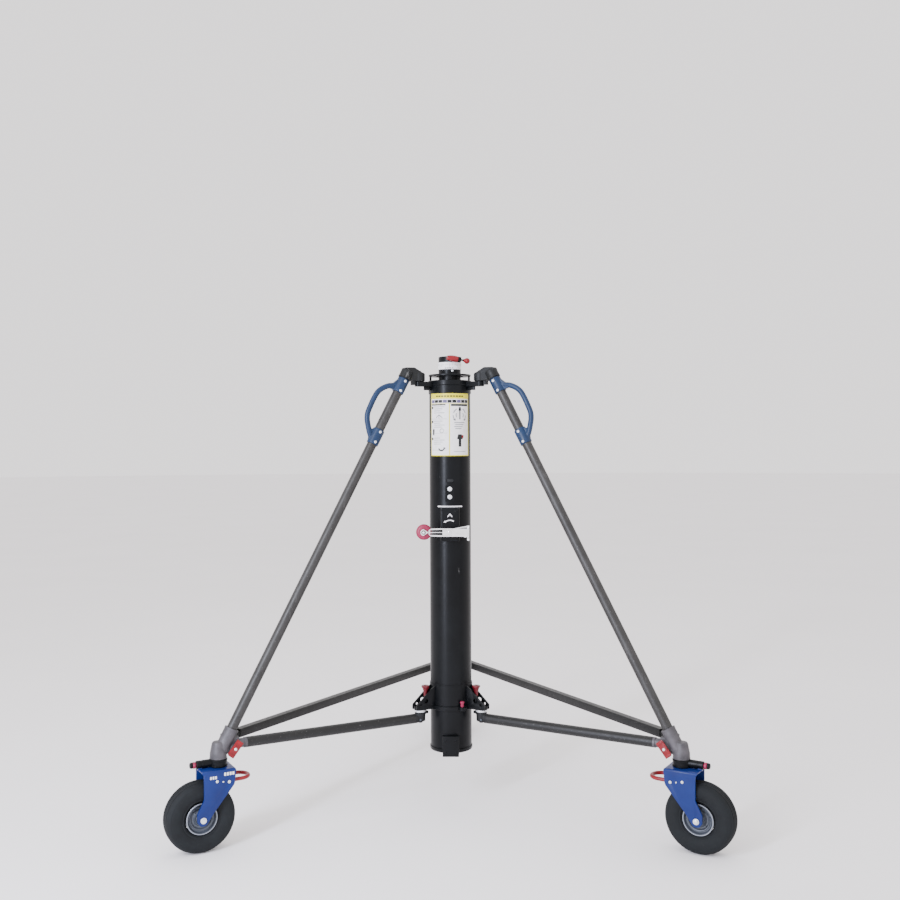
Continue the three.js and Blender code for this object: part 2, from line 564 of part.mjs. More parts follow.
for (const [side, azimuth] of Object.entries(LEG_AZIMUTHS)) {
  const frame = new THREE.Group();
  frame.rotation.z = THREE.MathUtils.degToRad(azimuth);
  const caster = new THREE.Group();
  caster.position.x = STEM_R;
  frame.add(caster);
  stand.add(frame);

  const nearSide = side === "right" ? -1 : 1;
  const tieSides = { left: [-1], right: [1], rear: [-1, 1] }[side];
  for (const [name, geometry, colour, parent] of [
    ["hinge_arm", hingeArm(), "black", frame],
    ["leg_tube", legTube(), "tube", frame],
    ["carry_handle", carryHandle(), "handleBlue", frame],
    ["foot_casting", footCasting(tieSides, nearSide, LATCH_AT[side]), "casting", frame],
    ["swivel_lock", swivelLock(), "black", frame],
    ["lower_brace", lowerBrace(), "tie", frame],
    ["brace_knuckle", braceKnuckle(), "black", frame],
    ["pull_knob", pullKnob(), "red", frame],
    ["foot_latch", footLatch(nearSide, LATCH_AT[side]), "red", frame],
    ["caster_fork", casterFork(), "blue", caster],
    ["brake_loop", brakeLoop(), "red", caster],
    ["axle", wheelAxle(), "steel", caster],
    ["wheel_rim", wheelRim(), "rim", caster],
    ["tyre", wheelTyre(), "tyre", caster],
  ]) {
    addNode(`${side}_${name}`, geometry, colour, parent);
  }
}

// ---------------------------------------------------------------- ties from the rear foot to each front foot
const TIE_EYE = 14; // half width of the flat eye at each end
const TIE_START = 26; // from the pin to the end of the square tube

function tieBar(length) {
  const h = TIE_SIDE / 2;
  const inside = h - TUBE_WALL;
  const tube = cut(box(TIE_START, length - TIE_START, -h, h, TIE_Z - h, TIE_Z + h),
    box(TIE_START - 5, length, -inside, inside, TIE_Z - inside, TIE_Z + inside));
  const strip = roundEnded(-(TIE_START + 30), TIE_EYE, TIE_EYE);
  const eye = floorPlate(strip, TIE_Z - 8, TIE_Z + 8).rotateZ(Math.PI);
  const farEye = eye.clone().rotateZ(Math.PI).translate(length, 0, 0);
  return join(tube, eye, farEye);
}

const footPin = (side, tieSide) => {
  const { x, y } = toFoot(tieSide);
  return new THREE.Vector3(x, y, 0).applyAxisAngle(
    new THREE.Vector3(0, 0, 1), THREE.MathUtils.degToRad(LEG_AZIMUTHS[side]));
};

for (const [side, frontSide, rearSide] of [["left", -1, 1], ["right", 1, -1]]) {
  const front = footPin(side, frontSide);
  const along = footPin("rear", rearSide).sub(front);
  const tie = new THREE.Group();
  tie.position.copy(front);
  tie.rotation.z = Math.atan2(along.y, along.x);
  stand.add(tie);
  addNode(`${side}_tie`, tieBar(along.length()), "tie", tie);
}

export default stand;
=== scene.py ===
"""Crank lighting stand: the smooth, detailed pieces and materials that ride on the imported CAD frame.

Sizes and places are in millimetres, in the CAD's own frame, and are turned into metres as each mesh is made.
"""

import math

import bmesh
import bpy
from mathutils import Matrix, Vector


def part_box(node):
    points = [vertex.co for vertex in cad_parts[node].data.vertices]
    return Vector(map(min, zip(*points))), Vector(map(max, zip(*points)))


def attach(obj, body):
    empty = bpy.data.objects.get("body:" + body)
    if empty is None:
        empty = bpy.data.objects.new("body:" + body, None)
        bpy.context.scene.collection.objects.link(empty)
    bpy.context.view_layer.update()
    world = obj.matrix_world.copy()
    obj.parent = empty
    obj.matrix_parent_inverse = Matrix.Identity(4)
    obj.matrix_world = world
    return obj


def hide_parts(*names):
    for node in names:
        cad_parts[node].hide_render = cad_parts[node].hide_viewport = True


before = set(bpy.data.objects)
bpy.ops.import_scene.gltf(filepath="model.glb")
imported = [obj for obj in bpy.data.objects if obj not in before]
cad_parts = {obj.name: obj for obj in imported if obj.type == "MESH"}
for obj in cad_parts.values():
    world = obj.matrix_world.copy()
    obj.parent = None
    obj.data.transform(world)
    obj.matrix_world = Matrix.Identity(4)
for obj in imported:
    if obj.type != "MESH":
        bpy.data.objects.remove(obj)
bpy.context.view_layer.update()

MM = 0.001
PI = math.pi
LEGS = {"left": 210, "right": 330, "rear": 90}  # azimuth of each leg, in degrees from +X


def frame_of(side):
    return "base" if side == "rear" else f"{side}_leg"


# ---- node sizes, read from the frame


def node_box(node):
    """A CAD node's lowest and highest corners, in millimetres."""
    low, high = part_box(node)
    return Vector(low) / MM, Vector(high) / MM


COLUMN_R = (node_box("outer_column")[1].x - node_box("outer_column")[0].x) / 2
COLUMN_BORE = COLUMN_R - 4
COLUMN_FOOT, COLUMN_TOP = node_box("outer_column")[0].z, node_box("outer_column")[1].z
HINGE_R = 142
PLUNGER_R = 118
LEG_TOP, LEG_END = Vector((228, 0, 1683)), Vector((916, 0, 424))
LEG_LENGTH = (LEG_END - LEG_TOP).length
DOWN = (LEG_END - LEG_TOP) / LEG_LENGTH
OUT = Vector((-DOWN.z, 0, DOWN.x))
LEG_R, BRACE_R, TUBE_WALL = 19, 19, 3
AROUND_COLUMN, AROUND_LEG = COLUMN_R + 0.3, LEG_R + 0.3  # bores of what is fitted on them
IN_BRACE = BRACE_R - TUBE_WALL - 1
PIN_R, PIN_BORE = 8, 8.6
BRACE_IN, BRACE_OUT = 364, 368
STEM_R = 966
TRAIL, AXLE_Z = 70, 126
CRANK_Z = 1112
TIE_Z, TIE_PIN = 392, 75
FORK_TOP, CHEEK_IN, CHEEK_OUT = 296, 49, 56
BRAKE_X, BRAKE_Z = -24, 250
LOCK_Z = 311
LATCH_AT = {"left": Vector((912, 0, 357)), "right": Vector((912, 0, 357)), "rear": Vector((918, 0, 336))}
LATCH_ALONG, LATCH_ACROSS = Vector((0.615, 0, -0.788)), Vector((0.788, 0, 0.615))
KNUCKLE_TOP = 389


def on_leg(s, n=0, y=0):
    """A point s down the leg's axis from its top, n outwards from the axis and y to the side."""
    return LEG_TOP + DOWN * s + OUT * n + Vector((0, y, 0))


# ---- mesh kit


def grown(profile, segments=64, loop=False):
    """A solid turned about Z from [radius, z] points, which start and end on the axis unless it is a loop."""
    bm = bmesh.new()
    rings = []
    for radius, z in profile:
        if radius < 1e-6:
            rings.append([bm.verts.new((0, 0, z))])
        else:
            angles = [2 * PI * k / segments for k in range(segments)]
            rings.append([bm.verts.new((radius * math.cos(a), radius * math.sin(a), z)) for a in angles])
    pairs = list(zip(rings, rings[1:]))
    if loop:
        pairs.append((rings[-1], rings[0]))
    for a, b in pairs:
        for k in range(segments):
            corners = [a[k % len(a)], a[(k + 1) % len(a)], b[(k + 1) % len(b)], b[k % len(b)]]
            unique = list(dict.fromkeys(corners))
            if len(unique) > 2:
                bm.faces.new(unique)
    return bm


def rounded(corners, radius, steps=4):
    """An outline whose corners are replaced by arcs. radius is one number, or one for each corner."""
    points = [Vector(c) for c in corners]
    out = []
    for i, p in enumerate(points):
        r = radius[i] if isinstance(radius, (list, tuple)) else radius
        a, b = points[i - 1] - p, points[(i + 1) % len(points)] - p
        if r <= 0:
            out.append(tuple(p))
            continue
        half = a.angle(b) / 2
        reach = min(r / math.tan(half), a.length * 0.49, b.length * 0.49)
        start, end = p + a.normalized() * reach, p + b.normalized() * reach
        for k in range(steps + 1):
            t = k / steps
            out.append(tuple(start * (1 - t) ** 2 + p * 2 * t * (1 - t) + end * t * t))
    return out


def arc(cx, cy, r, a0, a1, steps):
    """Points round an arc, in degrees."""
    return [(cx + r * math.cos(math.radians(a0 + (a1 - a0) * k / steps)),
            cy + r * math.sin(math.radians(a0 + (a1 - a0) * k / steps))) for k in range(steps + 1)]


XZY = Matrix(((1, 0, 0, 0), (0, 0, 1, 0), (0, 1, 0, 0), (0, 0, 0, 1)))  # lays XY on XZ
ZXY = Matrix(((0, 0, 1, 0), (1, 0, 0, 0), (0, 1, 0, 0), (0, 0, 0, 1)))  # lays XY on YZ, with Z along X


def thicken(bm, height):
    """Raises a flat mesh's faces into a solid."""
    made = bmesh.ops.extrude_face_region(bm, geom=bm.faces[:])
    raised = [g for g in made["geom"] if isinstance(g, bmesh.types.BMVert)]
    bmesh.ops.translate(bm, verts=raised, vec=(0, 0, height))


def moved(bm, x, y=0, z=0):
    bm.transform(Matrix.Translation((x, y, z)))
    return bm


def plate(outline, low, high, axis="z", holes=(), cuts=()):
    """A flat plate of an outline: in XY from z low to high, or in XZ from y low to high.

    Holes are (x, y, r), and cuts are outlines.
    """
    bm = bmesh.new()
    loops = [outline, *cuts] + [arc(x, y, r, 0, 360 - 360 / 32, 31) for x, y, r in holes]
    edges = []
    for loop in loops:
        verts = [bm.verts.new((x, y, low)) for x, y in loop]
        edges += [bm.edges.new((verts[i], verts[(i + 1) % len(verts)])) for i in range(len(verts))]
    if len(loops) > 1:
        bmesh.ops.triangle_fill(bm, edges=edges, use_beauty=True)
    else:
        bm.faces.new(bm.verts[:])
    thicken(bm, high - low)
    if axis == "y":
        bm.transform(XZY)
    bmesh.ops.recalc_face_normals(bm, faces=bm.faces[:])
    return bm


def block(x0, x1, y0, y1, z0, z1):
    return plate([(x0, y0), (x1, y0), (x1, y1), (x0, y1)], z0, z1)


def bevel(bm, width, segments=3, angle=30):
    """Rounds every edge that is sharper than an angle."""
    bmesh.ops.recalc_face_normals(bm, faces=bm.faces[:])
    sharp = [e for e in bm.edges if e.is_manifold and e.calc_face_angle(0) > math.radians(angle)]
    bmesh.ops.bevel(bm, geom=sharp, offset=width, offset_type="OFFSET", segments=segments, profile=0.5,
            affect="EDGES", clamp_overlap=True)
    return bm


def aimed(bm, a, direction):
    """Moves a mesh made round +Z from the origin so that it starts at a and runs along a direction."""
    turn = Vector((0, 0, 1)).rotation_difference(Vector(direction).normalized()).to_matrix().to_4x4()
    bm.transform(Matrix.Translation(Vector(a)) @ turn)
    return bm


def rod(a, b, r, r2=None, segments=48, edge=1.0):
    """A round bar from a to b with eased ends."""
    a, b = Vector(a), Vector(b)
    length, r2 = (b - a).length, r if r2 is None else r2
    edge = min(edge, r * 0.5, length * 0.3)
    profile = [(0, 0), (r - edge, 0), (r - edge * 0.3, edge * 0.3), (r, edge)]
    profile += [(r2, length - edge), (r2 - edge * 0.3, length - edge * 0.3), (r2 - edge, length), (0, length)]
    return aimed(grown(profile, segments), a, b - a)


def pipe(a, b, inner, outer, segments=64, edge=0.6):
    """A round tube from a to b."""
    a, b = Vector(a), Vector(b)
    length = (b - a).length
    profile = [(inner, 0), (outer - edge, 0), (outer, edge), (outer, length - edge), (outer - edge, length),
            (inner, length)]
    return aimed(grown(profile, segments, loop=True), a, b - a)


def solid(r, z0, z1, segments=144, x=0, y=0):
    """A plain upright round body."""
    return moved(grown([(0, z0), (r, z0), (r, z1), (0, z1)], segments), x, y)


def hoop(inner, outer, z0, z1, edge=1.0, segments=144, x=0, y=0):
    """An upright ring with eased outer edges."""
    return pipe((x, y, z0), (x, y, z1), inner, outer, segments, edge)


def smooth_path(points, per):
    """A Catmull-Rom curve through points, with a number of steps from each to the next."""
    p = [2 * points[0] - points[1], *points, 2 * points[-1] - points[-2]]
    out = []
    for i in range(1, len(p) - 2):
        for k in range(per):
            t = k / per
            out.append(0.5 * (2 * p[i] + (p[i + 1] - p[i - 1]) * t
                    + (2 * p[i - 1] - 5 * p[i] + 4 * p[i + 1] - p[i + 2]) * t * t
                    + (3 * p[i] - p[i - 1] - 3 * p[i + 1] + p[i + 2]) * t ** 3))
    return [*out, p[-2]]


def sweep(path, section):
    """A closed section of (side, up) points carried along a path."""
    bm = bmesh.new()
    rings = []
    up = Vector((0, 0, 1))
    for i, p in enumerate(path):
        along = (path[min(i + 1, len(path) - 1)] - path[max(i - 1, 0)]).normalized()
        if abs(along.dot(up)) > 0.98:
            up = Vector((1, 0, 0))
        side = along.cross(up).normalized()
        up = side.cross(along).normalized()
        rings.append([bm.verts.new(p + side * x + up * y) for x, y in section])
    n = len(section)
    for a, b in zip(rings, rings[1:]):
        for k in range(n):
            bm.faces.new((a[k], a[(k + 1) % n], b[(k + 1) % n], b[k]))
    bm.faces.new(rings[0])
    bm.faces.new(rings[-1])
    bmesh.ops.recalc_face_normals(bm, faces=bm.faces[:])
    return bm


def circle(r, segments):
    return arc(0, 0, r, 0, 360 - 360 / segments, segments - 1)


def merged(*parts):
    """One mesh of several closed bodies."""
    whole = parts[0]
    for other in parts[1:]:
        scratch = bpy.data.meshes.new("scratch")
        other.to_mesh(scratch)
        other.free()
        whole.from_mesh(scratch)
        bpy.data.meshes.remove(scratch)
    return whole


def turned(bm, degrees, axis="Z"):
    bm.transform(Matrix.Rotation(math.radians(degrees), 4, axis))
    return bm


def scratch_object(bm):
    mesh = bpy.data.meshes.new("scratch")
    bmesh.ops.recalc_face_normals(bm, faces=bm.faces[:])
    bm.to_mesh(mesh)
    bm.free()
    obj = bpy.data.objects.new("scratch", mesh)
    bpy.context.collection.objects.link(obj)
    return obj


def evaluated(obj, *others):
    """The mesh that an object's modifiers leave, as a bmesh. The objects are removed."""
    bpy.context.view_layer.update()
    result = bmesh.new()
    result.from_mesh(obj.evaluated_get(bpy.context.evaluated_depsgraph_get()).to_mesh())
    for used in (obj, *others):
        mesh = used.data
        bpy.data.objects.remove(used)
        bpy.data.meshes.remove(mesh)
    return result


def carved(bm, *tools, operation="DIFFERENCE"):
    """A mesh after a boolean with each tool, which is cut away unless the operation is INTERSECT."""
    obj = scratch_object(bm)
    helpers = [scratch_object(tool) for tool in tools]
    for helper in helpers:
        modifier = obj.modifiers.new("cut", "BOOLEAN")
        modifier.operation = operation
        modifier.object = helper
        modifier.solver = "EXACT"
    return evaluated(obj, *helpers)


CAST_VOXEL, CAST_SMOOTHING = 1.4, 3
CAST_SHARP = 40  # degrees


def fused(*bodies):
    """Overlapping bodies run together as a casting, with soft fillets where they meet."""
    obj = scratch_object(merged(*bodies))
    remesh = obj.modifiers.new("fuse", "REMESH")
    remesh.mode = "VOXEL"
    remesh.voxel_size = CAST_VOXEL
    relax = obj.modifiers.new("relax", "SMOOTH")
    relax.factor = 0.5
    relax.iterations = CAST_SMOOTHING
    return evaluated(obj)


def to_mesh(bm, material, sharp=32):
    """A finished mesh in metres, smooth but for edges sharper than an angle."""
    bmesh.ops.recalc_face_normals(bm, faces=bm.faces[:])
    bm.transform(Matrix.Scale(MM, 4))
    mesh = bpy.data.meshes.new(material)
    bm.to_mesh(mesh)
    bm.free()
    mesh.materials.append(MATERIALS[material])
    mesh.shade_smooth()
    mesh.set_sharp_from_angle(angle=math.radians(sharp))
    return mesh


def piece(name, mesh, body, node=None, slot=None, place=Matrix.Identity(4)):
    """A piece of the object on a body. place puts its mesh in the row's frame."""
    obj = bpy.data.objects.new(name, mesh)
    bpy.context.collection.objects.link(obj)
    obj.matrix_world = place
    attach(obj, body)
    if node:
        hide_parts(node)


def part(name, bm, material, body="base", node=None, slot=None):
    """A piece that is used once and made where it stands."""
    piece(name, to_mesh(bm, material), body, node, slot)


def leg_place(side):
    return Matrix.Rotation(math.radians(LEGS[side]), 4, "Z")


def caster_place(side):
    return leg_place(side) @ Matrix.Translation((STEM_R * MM, 0, 0))


def hex_bolt(r, height, washer=True):
    """A bolt head on the XY plane, with a washer under it."""
    corners = [(r * math.cos(PI * k / 3), r * math.sin(PI * k / 3)) for k in range(6)]
    head = bevel(plate(corners, 0, height), 0.5, 2)
    if not washer:
        return head
    return merged(moved(head, 0, 0, 1.2), rod((0, 0, 0), (0, 0, 1.6), r * 1.35, edge=0.4))


def dome_bolt(r, height):
    """A round-headed bolt with a hex socket."""
    profile = [(0, height * 0.45), (r * 0.42, height * 0.45), (r * 0.45, height), (r * 0.6, height * 0.98)]
    profile += [(r * math.cos(a), height * math.sin(a)) for a in (1.0, 0.75, 0.5, 0.25, 0.0)]
    return grown(profile + [(r, -0.4), (0, -0.4)], 32)


# ---- materials


def linear(hexcode):
    """A colour written as RRGGBB, as linear RGBA."""
    parts = [int(hexcode[i:i + 2], 16) / 255 for i in (0, 2, 4)]
    return (*[c / 12.92 if c <= 0.04045 else ((c + 0.055) / 1.055) ** 2.4 for c in parts], 1)


class Paint:
    """A node material with a principled shader and a few short ways to add to it."""

    def __init__(self, name, metallic=0.0, coat=0.0, specular=0.5, ior=1.5):
        self.material = bpy.data.materials.new(name)
        self.material.use_nodes = True
        self.nodes, self.links = self.material.node_tree.nodes, self.material.node_tree.links
        self.shader = self.nodes["Principled BSDF"]
        self.shader.inputs["Metallic"].default_value = metallic
        self.shader.inputs["IOR"].default_value = ior
        self.shader.inputs["Coat Weight"].default_value = coat
        self.shader.inputs["Coat Roughness"].default_value = 0.15
        self.shader.inputs["Specular IOR Level"].default_value = specular
        self.where = self.nodes.new("ShaderNodeTexCoord").outputs["Object"]
        self.height = None

    def add(self, kind, **settings):
        node = self.nodes.new(kind)
        for key, value in settings.items():
            setattr(node, key, value)
        return node

    def noise(self, scale, detail=4.0, roughness=0.55, stretch=(1, 1, 1)):
        """Noise with a scale in cells per metre, stretched along the axes."""
        mapping = self.add("ShaderNodeMapping")
        mapping.inputs["Scale"].default_value = stretch
        self.links.new(self.where, mapping.inputs["Vector"])
        node = self.add("ShaderNodeTexNoise")
        node.inputs["Scale"].default_value = scale
        node.inputs["Detail"].default_value = detail
        node.inputs["Roughness"].default_value = roughness
        self.links.new(mapping.outputs["Vector"], node.inputs["Vector"])
        return node.outputs["Fac"]

    def spread(self, value, low, high, out_low=0.0, out_high=1.0):
        """Maps a value's range from low..high to a new range, and holds it at the ends."""
        node = self.add("ShaderNodeMapRange", clamp=True)
        for key, number in zip(("From Min", "From Max", "To Min", "To Max"), (low, high, out_low, out_high)):
            node.inputs[key].default_value = number
        self.links.new(value, node.inputs["Value"])
        return node.outputs["Result"]

    def math(self, operation, a, b):
        node = self.add("ShaderNodeMath", operation=operation)
        for socket, value in zip(node.inputs, (a, b)):
            if isinstance(value, (int, float)):
                socket.default_value = value
            else:
                self.links.new(value, socket)
        return node.outputs["Value"]

    def mix(self, factor, a, b):
        """A colour between a and b. Each is a colour or a socket."""
        node = self.add("ShaderNodeMix", data_type="RGBA")
        self.links.new(factor, node.inputs["Factor"])
        for index, value in ((6, a), (7, b)):
            if isinstance(value, tuple):
                node.inputs[index].default_value = value
            else:
                self.links.new(value, node.inputs[index])
        return node.outputs[2]

    def tones(self, value, low, high, dark, light):
        """A colour that follows a value from dark to light."""
        return self.mix(self.spread(value, low, high), linear(dark), linear(light))

    def color(self, socket):
        self.links.new(socket, self.shader.inputs["Base Color"])

    def rough(self, value):
        if isinstance(value, float):
            self.shader.inputs["Roughness"].default_value = value
        else:
            self.links.new(value, self.shader.inputs["Roughness"])

    def bump(self, height, depth, strength=1.0):
        """Adds relief of a depth in metres, after any that is there."""
        node = self.add("ShaderNodeBump")
        node.inputs["Strength"].default_value = strength
        node.inputs["Distance"].default_value = depth
        self.links.new(height, node.inputs["Height"])
        if self.height is not None:
            self.links.new(self.height, node.inputs["Normal"])
        self.height = node.outputs["Normal"]
        self.links.new(self.height, self.shader.inputs["Normal"])


def coat_material(name, dark, light, roughness, metallic=0.0, peel=0.00006, scuff="8a8a88", scuffing=0.75,
        ior=1.5):
    """Powder coat: fine orange peel, slow colour change, and scuffs along rubbed places."""
    paint = Paint(name, metallic, ior=ior)
    slow = paint.noise(9, 5)
    body = paint.tones(slow, 0.35, 0.68, dark, light)
    scratches = paint.noise(34, 10, 0.72, (1, 1, 0.35))
    marks = paint.spread(scratches, scuffing - 0.08, scuffing, 0, 0.55)
    paint.color(paint.mix(marks, body, linear(scuff)))
    paint.rough(paint.math("ADD", paint.spread(paint.noise(55, 6), 0.3, 0.7, *roughness),
            paint.math("MULTIPLY", marks, 0.15)))
    paint.bump(paint.noise(1100, 2), peel, 0.35)
    paint.bump(slow, 0.0006, 0.08)
    return paint.material


def tube_material(name, dark, light, scuff):
    """Worn paint on steel tube: streaks and rub marks that run along the tube."""
    paint = Paint(name, metallic=0.35)
    slow = paint.noise(14, 6, 0.6)
    body = paint.tones(slow, 0.3, 0.7, dark, light)
    rubs = paint.noise(60, 8, 0.7, (1, 1, 0.18))
    marks = paint.spread(rubs, 0.57, 0.72, 0, 0.8)
    chips = paint.spread(paint.noise(260, 4, 0.6), 0.66, 0.72, 0, 0.5)
    paint.color(paint.mix(chips, paint.mix(marks, body, linear(scuff)), linear("a7a5a2")))
    paint.rough(paint.spread(rubs, 0.3, 0.7, 0.36, 0.56))
    paint.bump(paint.noise(900, 3), 0.00008, 0.5)
    paint.bump(rubs, 0.00025, 0.25)
    return paint.material


def casting_material():
    """Painted sand casting: grain, pits and a slow change of tone."""
    paint = Paint("cast_grey", metallic=0.2)
    grain = paint.noise(420, 6, 0.62)
    slow = paint.noise(26, 5)
    body = paint.tones(slow, 0.32, 0.7, "383639", "504d51")
    paint.color(paint.mix(paint.spread(grain, 0.6, 0.74, 0, 0.5), body, linear("757377")))
    paint.rough(paint.spread(grain, 0.3, 0.7, 0.42, 0.66))
    paint.bump(grain, 0.0005, 0.4)
    paint.bump(slow, 0.0015, 0.2)
    return paint.material


def metal_material(name, hexcode, roughness, grain=(1, 1, 1), metallic=1.0):
    """Bare metal with turning or polishing marks."""
    paint = Paint(name, metallic)
    lines = paint.noise(500, 6, 0.6, grain)
    slow = paint.noise(40, 4)
    r, g, b, _ = linear(hexcode)
    paint.color(paint.mix(paint.spread(slow, 0.3, 0.7), (r * 0.8, g * 0.8, b * 0.8, 1), (r, g, b, 1)))
    paint.rough(paint.spread(lines, 0.3, 0.7, roughness * 0.7, roughness * 1.5))
    paint.bump(lines, 0.00003, 0.4)
    return paint.material


def plastic_material(name, dark, light, roughness):
    """Moulded plastic or dipped grip."""
    paint = Paint(name, coat=0.05, specular=0.35)
    slow = paint.noise(60, 5)
    paint.color(paint.tones(slow, 0.3, 0.7, dark, light))
    paint.rough(paint.spread(paint.noise(220, 5), 0.3, 0.7, roughness * 0.8, roughness * 1.4))
    paint.bump(paint.noise(1500, 2), 0.00004, 0.4)
    return paint.material


def rubber_material():
    """Tyre rubber: dusty, with fine mould texture."""
    paint = Paint("wheel_rubber", specular=0.25, ior=1.4)
    dust = paint.noise(30, 8, 0.65)
    body = paint.tones(dust, 0.35, 0.75, "131517", "1d2022")
    worn = paint.spread(paint.noise(160, 6, 0.7), 0.6, 0.75, 0, 0.45)
    paint.color(paint.mix(worn, body, linear("30302f")))
    paint.rough(paint.spread(dust, 0.3, 0.7, 0.62, 0.85))
    paint.bump(paint.noise(900, 5, 0.6), 0.00025, 0.5)
    return paint.material


def paper_material():
    paint = Paint("studio_paper", specular=0.2)
    paint.color(paint.mix(paint.spread(paint.noise(0.8, 3), 0.3, 0.7), linear("f4f2f3"), linear("f7f5f6")))
    paint.rough(0.85)
    return paint.material


MATERIALS = {material.name: material for material in (
    coat_material("black_coat", "08090b", "0d0f11", (0.28, 0.38), ior=1.23),
    coat_material("black_casting", "0c0e0f", "151718", (0.42, 0.62), peel=0.00035, scuffing=0.7, ior=1.35),
    tube_material("leg_paint", "292827", "383736", "4d4c4b"),
    tube_material("brace_paint", "111111", "181818", "272726"),
    casting_material(),
    coat_material("fork_blue", "061b56", "0a2566", (0.34, 0.48), scuff="3f5f99", scuffing=0.8, ior=1.35),
    coat_material("handle_blue", "0a2340", "0f2c4e", (0.36, 0.52), scuff="3f6087", scuffing=0.78, ior=1.4),
    plastic_material("signal_red", "6c0a13", "850e19", 0.34),
    plastic_material("knob_red", "4e0a14", "63121d", 0.34),
    plastic_material("grip_pink", "761334", "8d1e43", 0.42),
    metal_material("bright_chrome", "f0f0f0", 0.18, metallic=0.6),
    metal_material("turned_steel", "b4b4b2", 0.28, (1, 1, 12)),
    metal_material("zinc_bolt", "e8eaed", 0.3, metallic=0.6),
    plastic_material("white_enamel", "dedbdb", "eae8e8", 0.5),
    plastic_material("band_enamel", "f2f0f0", "f8f6f6", 0.45),
    plastic_material("label_ink", "101213", "1a1c1e", 0.5),
    plastic_material("label_grey", "6c6f73", "7a7d81", 0.5),
    plastic_material("label_purple", "4c4468", "5a5278", 0.5),
    plastic_material("label_yellow", "cfc31c", "e0d32c", 0.45),
    plastic_material("nylon_natural", "cfcbbd", "dcd9cc", 0.5),
    rubber_material(),
    paper_material(),
    coat_material("rim_grey", "41464e", "535861", (0.3, 0.46), metallic=0.45, scuff="9b9fa6", scuffing=0.72),
    coat_material("rim_edge", "7c818a", "8f949d", (0.28, 0.4), metallic=0.5, scuff="b5b8bd"),
)}


# ---- camera, lights and floor
EYE_HEIGHT, EYE_DISTANCE = 1.437, 4.22  # metres
EYE_AZIMUTH, EYE_ROLL = 1.0, 0.25  # degrees
LENS, SENSOR = 41.4, 36.0
SURROUND, SURROUND_STRENGTH = (0.86, 0.83, 0.84, 1), 1.95
LIT_POINT = Vector((0, 0, 0.9))
FLOOR_R = 60000


def camera_and_light():
    camera = bpy.data.objects.new("camera", bpy.data.cameras.new("camera"))
    camera.data.lens, camera.data.sensor_width = LENS, SENSOR
    bpy.context.collection.objects.link(camera)
    a = math.radians(EYE_AZIMUTH)
    camera.location = (EYE_DISTANCE * math.sin(a), -EYE_DISTANCE * math.cos(a), EYE_HEIGHT)
    level = Matrix.Rotation(a, 3, "Z") @ Matrix.Rotation(PI / 2, 3, "X")
    camera.rotation_euler = (level @ Matrix.Rotation(-math.radians(EYE_ROLL), 3, "Z")).to_euler()
    bpy.context.scene.camera = camera

    world = bpy.data.worlds.new("studio")
    world.use_nodes = True
    background = world.node_tree.nodes["Background"]
    background.inputs["Color"].default_value = SURROUND
    background.inputs["Strength"].default_value = SURROUND_STRENGTH
    bpy.context.scene.world = world
    for name, place, size, power, colour in (
        ("key", (-2.8, -3.8, 4.6), (2.6, 2.6), 90, (1, 1, 1)),
        ("strip", (-2.3, -3.6, 1.9), (0.35, 3.0), 260, (0.78, 0.83, 1)),
        ("fill", (3.8, -2.6, 2.6), (2.4, 2.4), 12, (1, 1, 1)),
        ("top", (0.2, 1.6, 5.2), (3.4, 3.4), 40, (1, 1, 1)),
    ):
        light = bpy.data.objects.new(name, bpy.data.lights.new(name, "AREA"))
        light.data.shape = "RECTANGLE"
        light.data.size, light.data.size_y = size
        light.data.energy = power
        light.data.color = colour
        light.location = place
        light.rotation_euler = (LIT_POINT - Vector(place)).to_track_quat("-Z", "Y").to_euler()
        light.visible_camera = False
        bpy.context.collection.objects.link(light)


def studio_floor():
    """A plain pale floor that runs out to the horizon on every side."""
    bm = bmesh.new()
    bmesh.ops.create_circle(bm, cap_ends=True, segments=96, radius=FLOOR_R)
    obj = bpy.data.objects.new("floor", to_mesh(bm, "studio_paper"))
    bpy.context.collection.objects.link(obj)


camera_and_light()
studio_floor()


# ---- column
SLOT = {"half_width": 15, "low": 1309, "high": 1321}
BUTTONS = {"half_width": 18, "low": 1231, "high": 1295, "depth": 81.4, "centres": (1281, 1249), "r": 9.5}
COVER = {"half_width": 38.5, "low": 1073, "high": 1206, "front": -97}


def on_column(outline, skin, lift):
    """A thin patch on the column, of an outline of (distance round from the front, height)."""
    bm = bmesh.new()
    bm.faces.new([bm.verts.new((u, v, 0)) for u, v in outline])
    reach = max(abs(u) for u, _ in outline)
    step = 4
    for k in range(-int(reach / step), int(reach / step) + 1):
        bmesh.ops.bisect_plane(bm, geom=bm.verts[:] + bm.edges[:] + bm.faces[:], plane_co=(k * step, 0, 0),
                plane_no=(1, 0, 0))
    thicken(bm, skin)
    for v in bm.verts:
        r, a = COLUMN_R + lift + v.co.z, v.co.x / COLUMN_R
        v.co = Vector((r * math.sin(a), -r * math.cos(a), v.co.y))
    return bm


def rectangle(u0, u1, v0, v1):
    return [(u0, v0), (u1, v0), (u1, v1), (u0, v1)]


def outer_column():
    tube = hoop(COLUMN_BORE, COLUMN_R, COLUMN_FOOT, COLUMN_TOP)
    w, low, high = SLOT["half_width"], SLOT["low"], SLOT["high"]
    slot = plate(rounded(rectangle(-w, w, low, high), 4), -95, -70, "y")
    w, low, high = BUTTONS["half_width"], BUTTONS["low"], BUTTONS["high"]
    flat = plate(rounded(rectangle(-w, w, low, high), 3), -95, -BUTTONS["depth"], "y")
    hole = rod((0, -95, CRANK_Z), (0, -70, CRANK_Z), 7.4)
    tube = carved(tube, slot, flat, hole)
    part("column_tube", tube, "black_coat", node="outer_column")


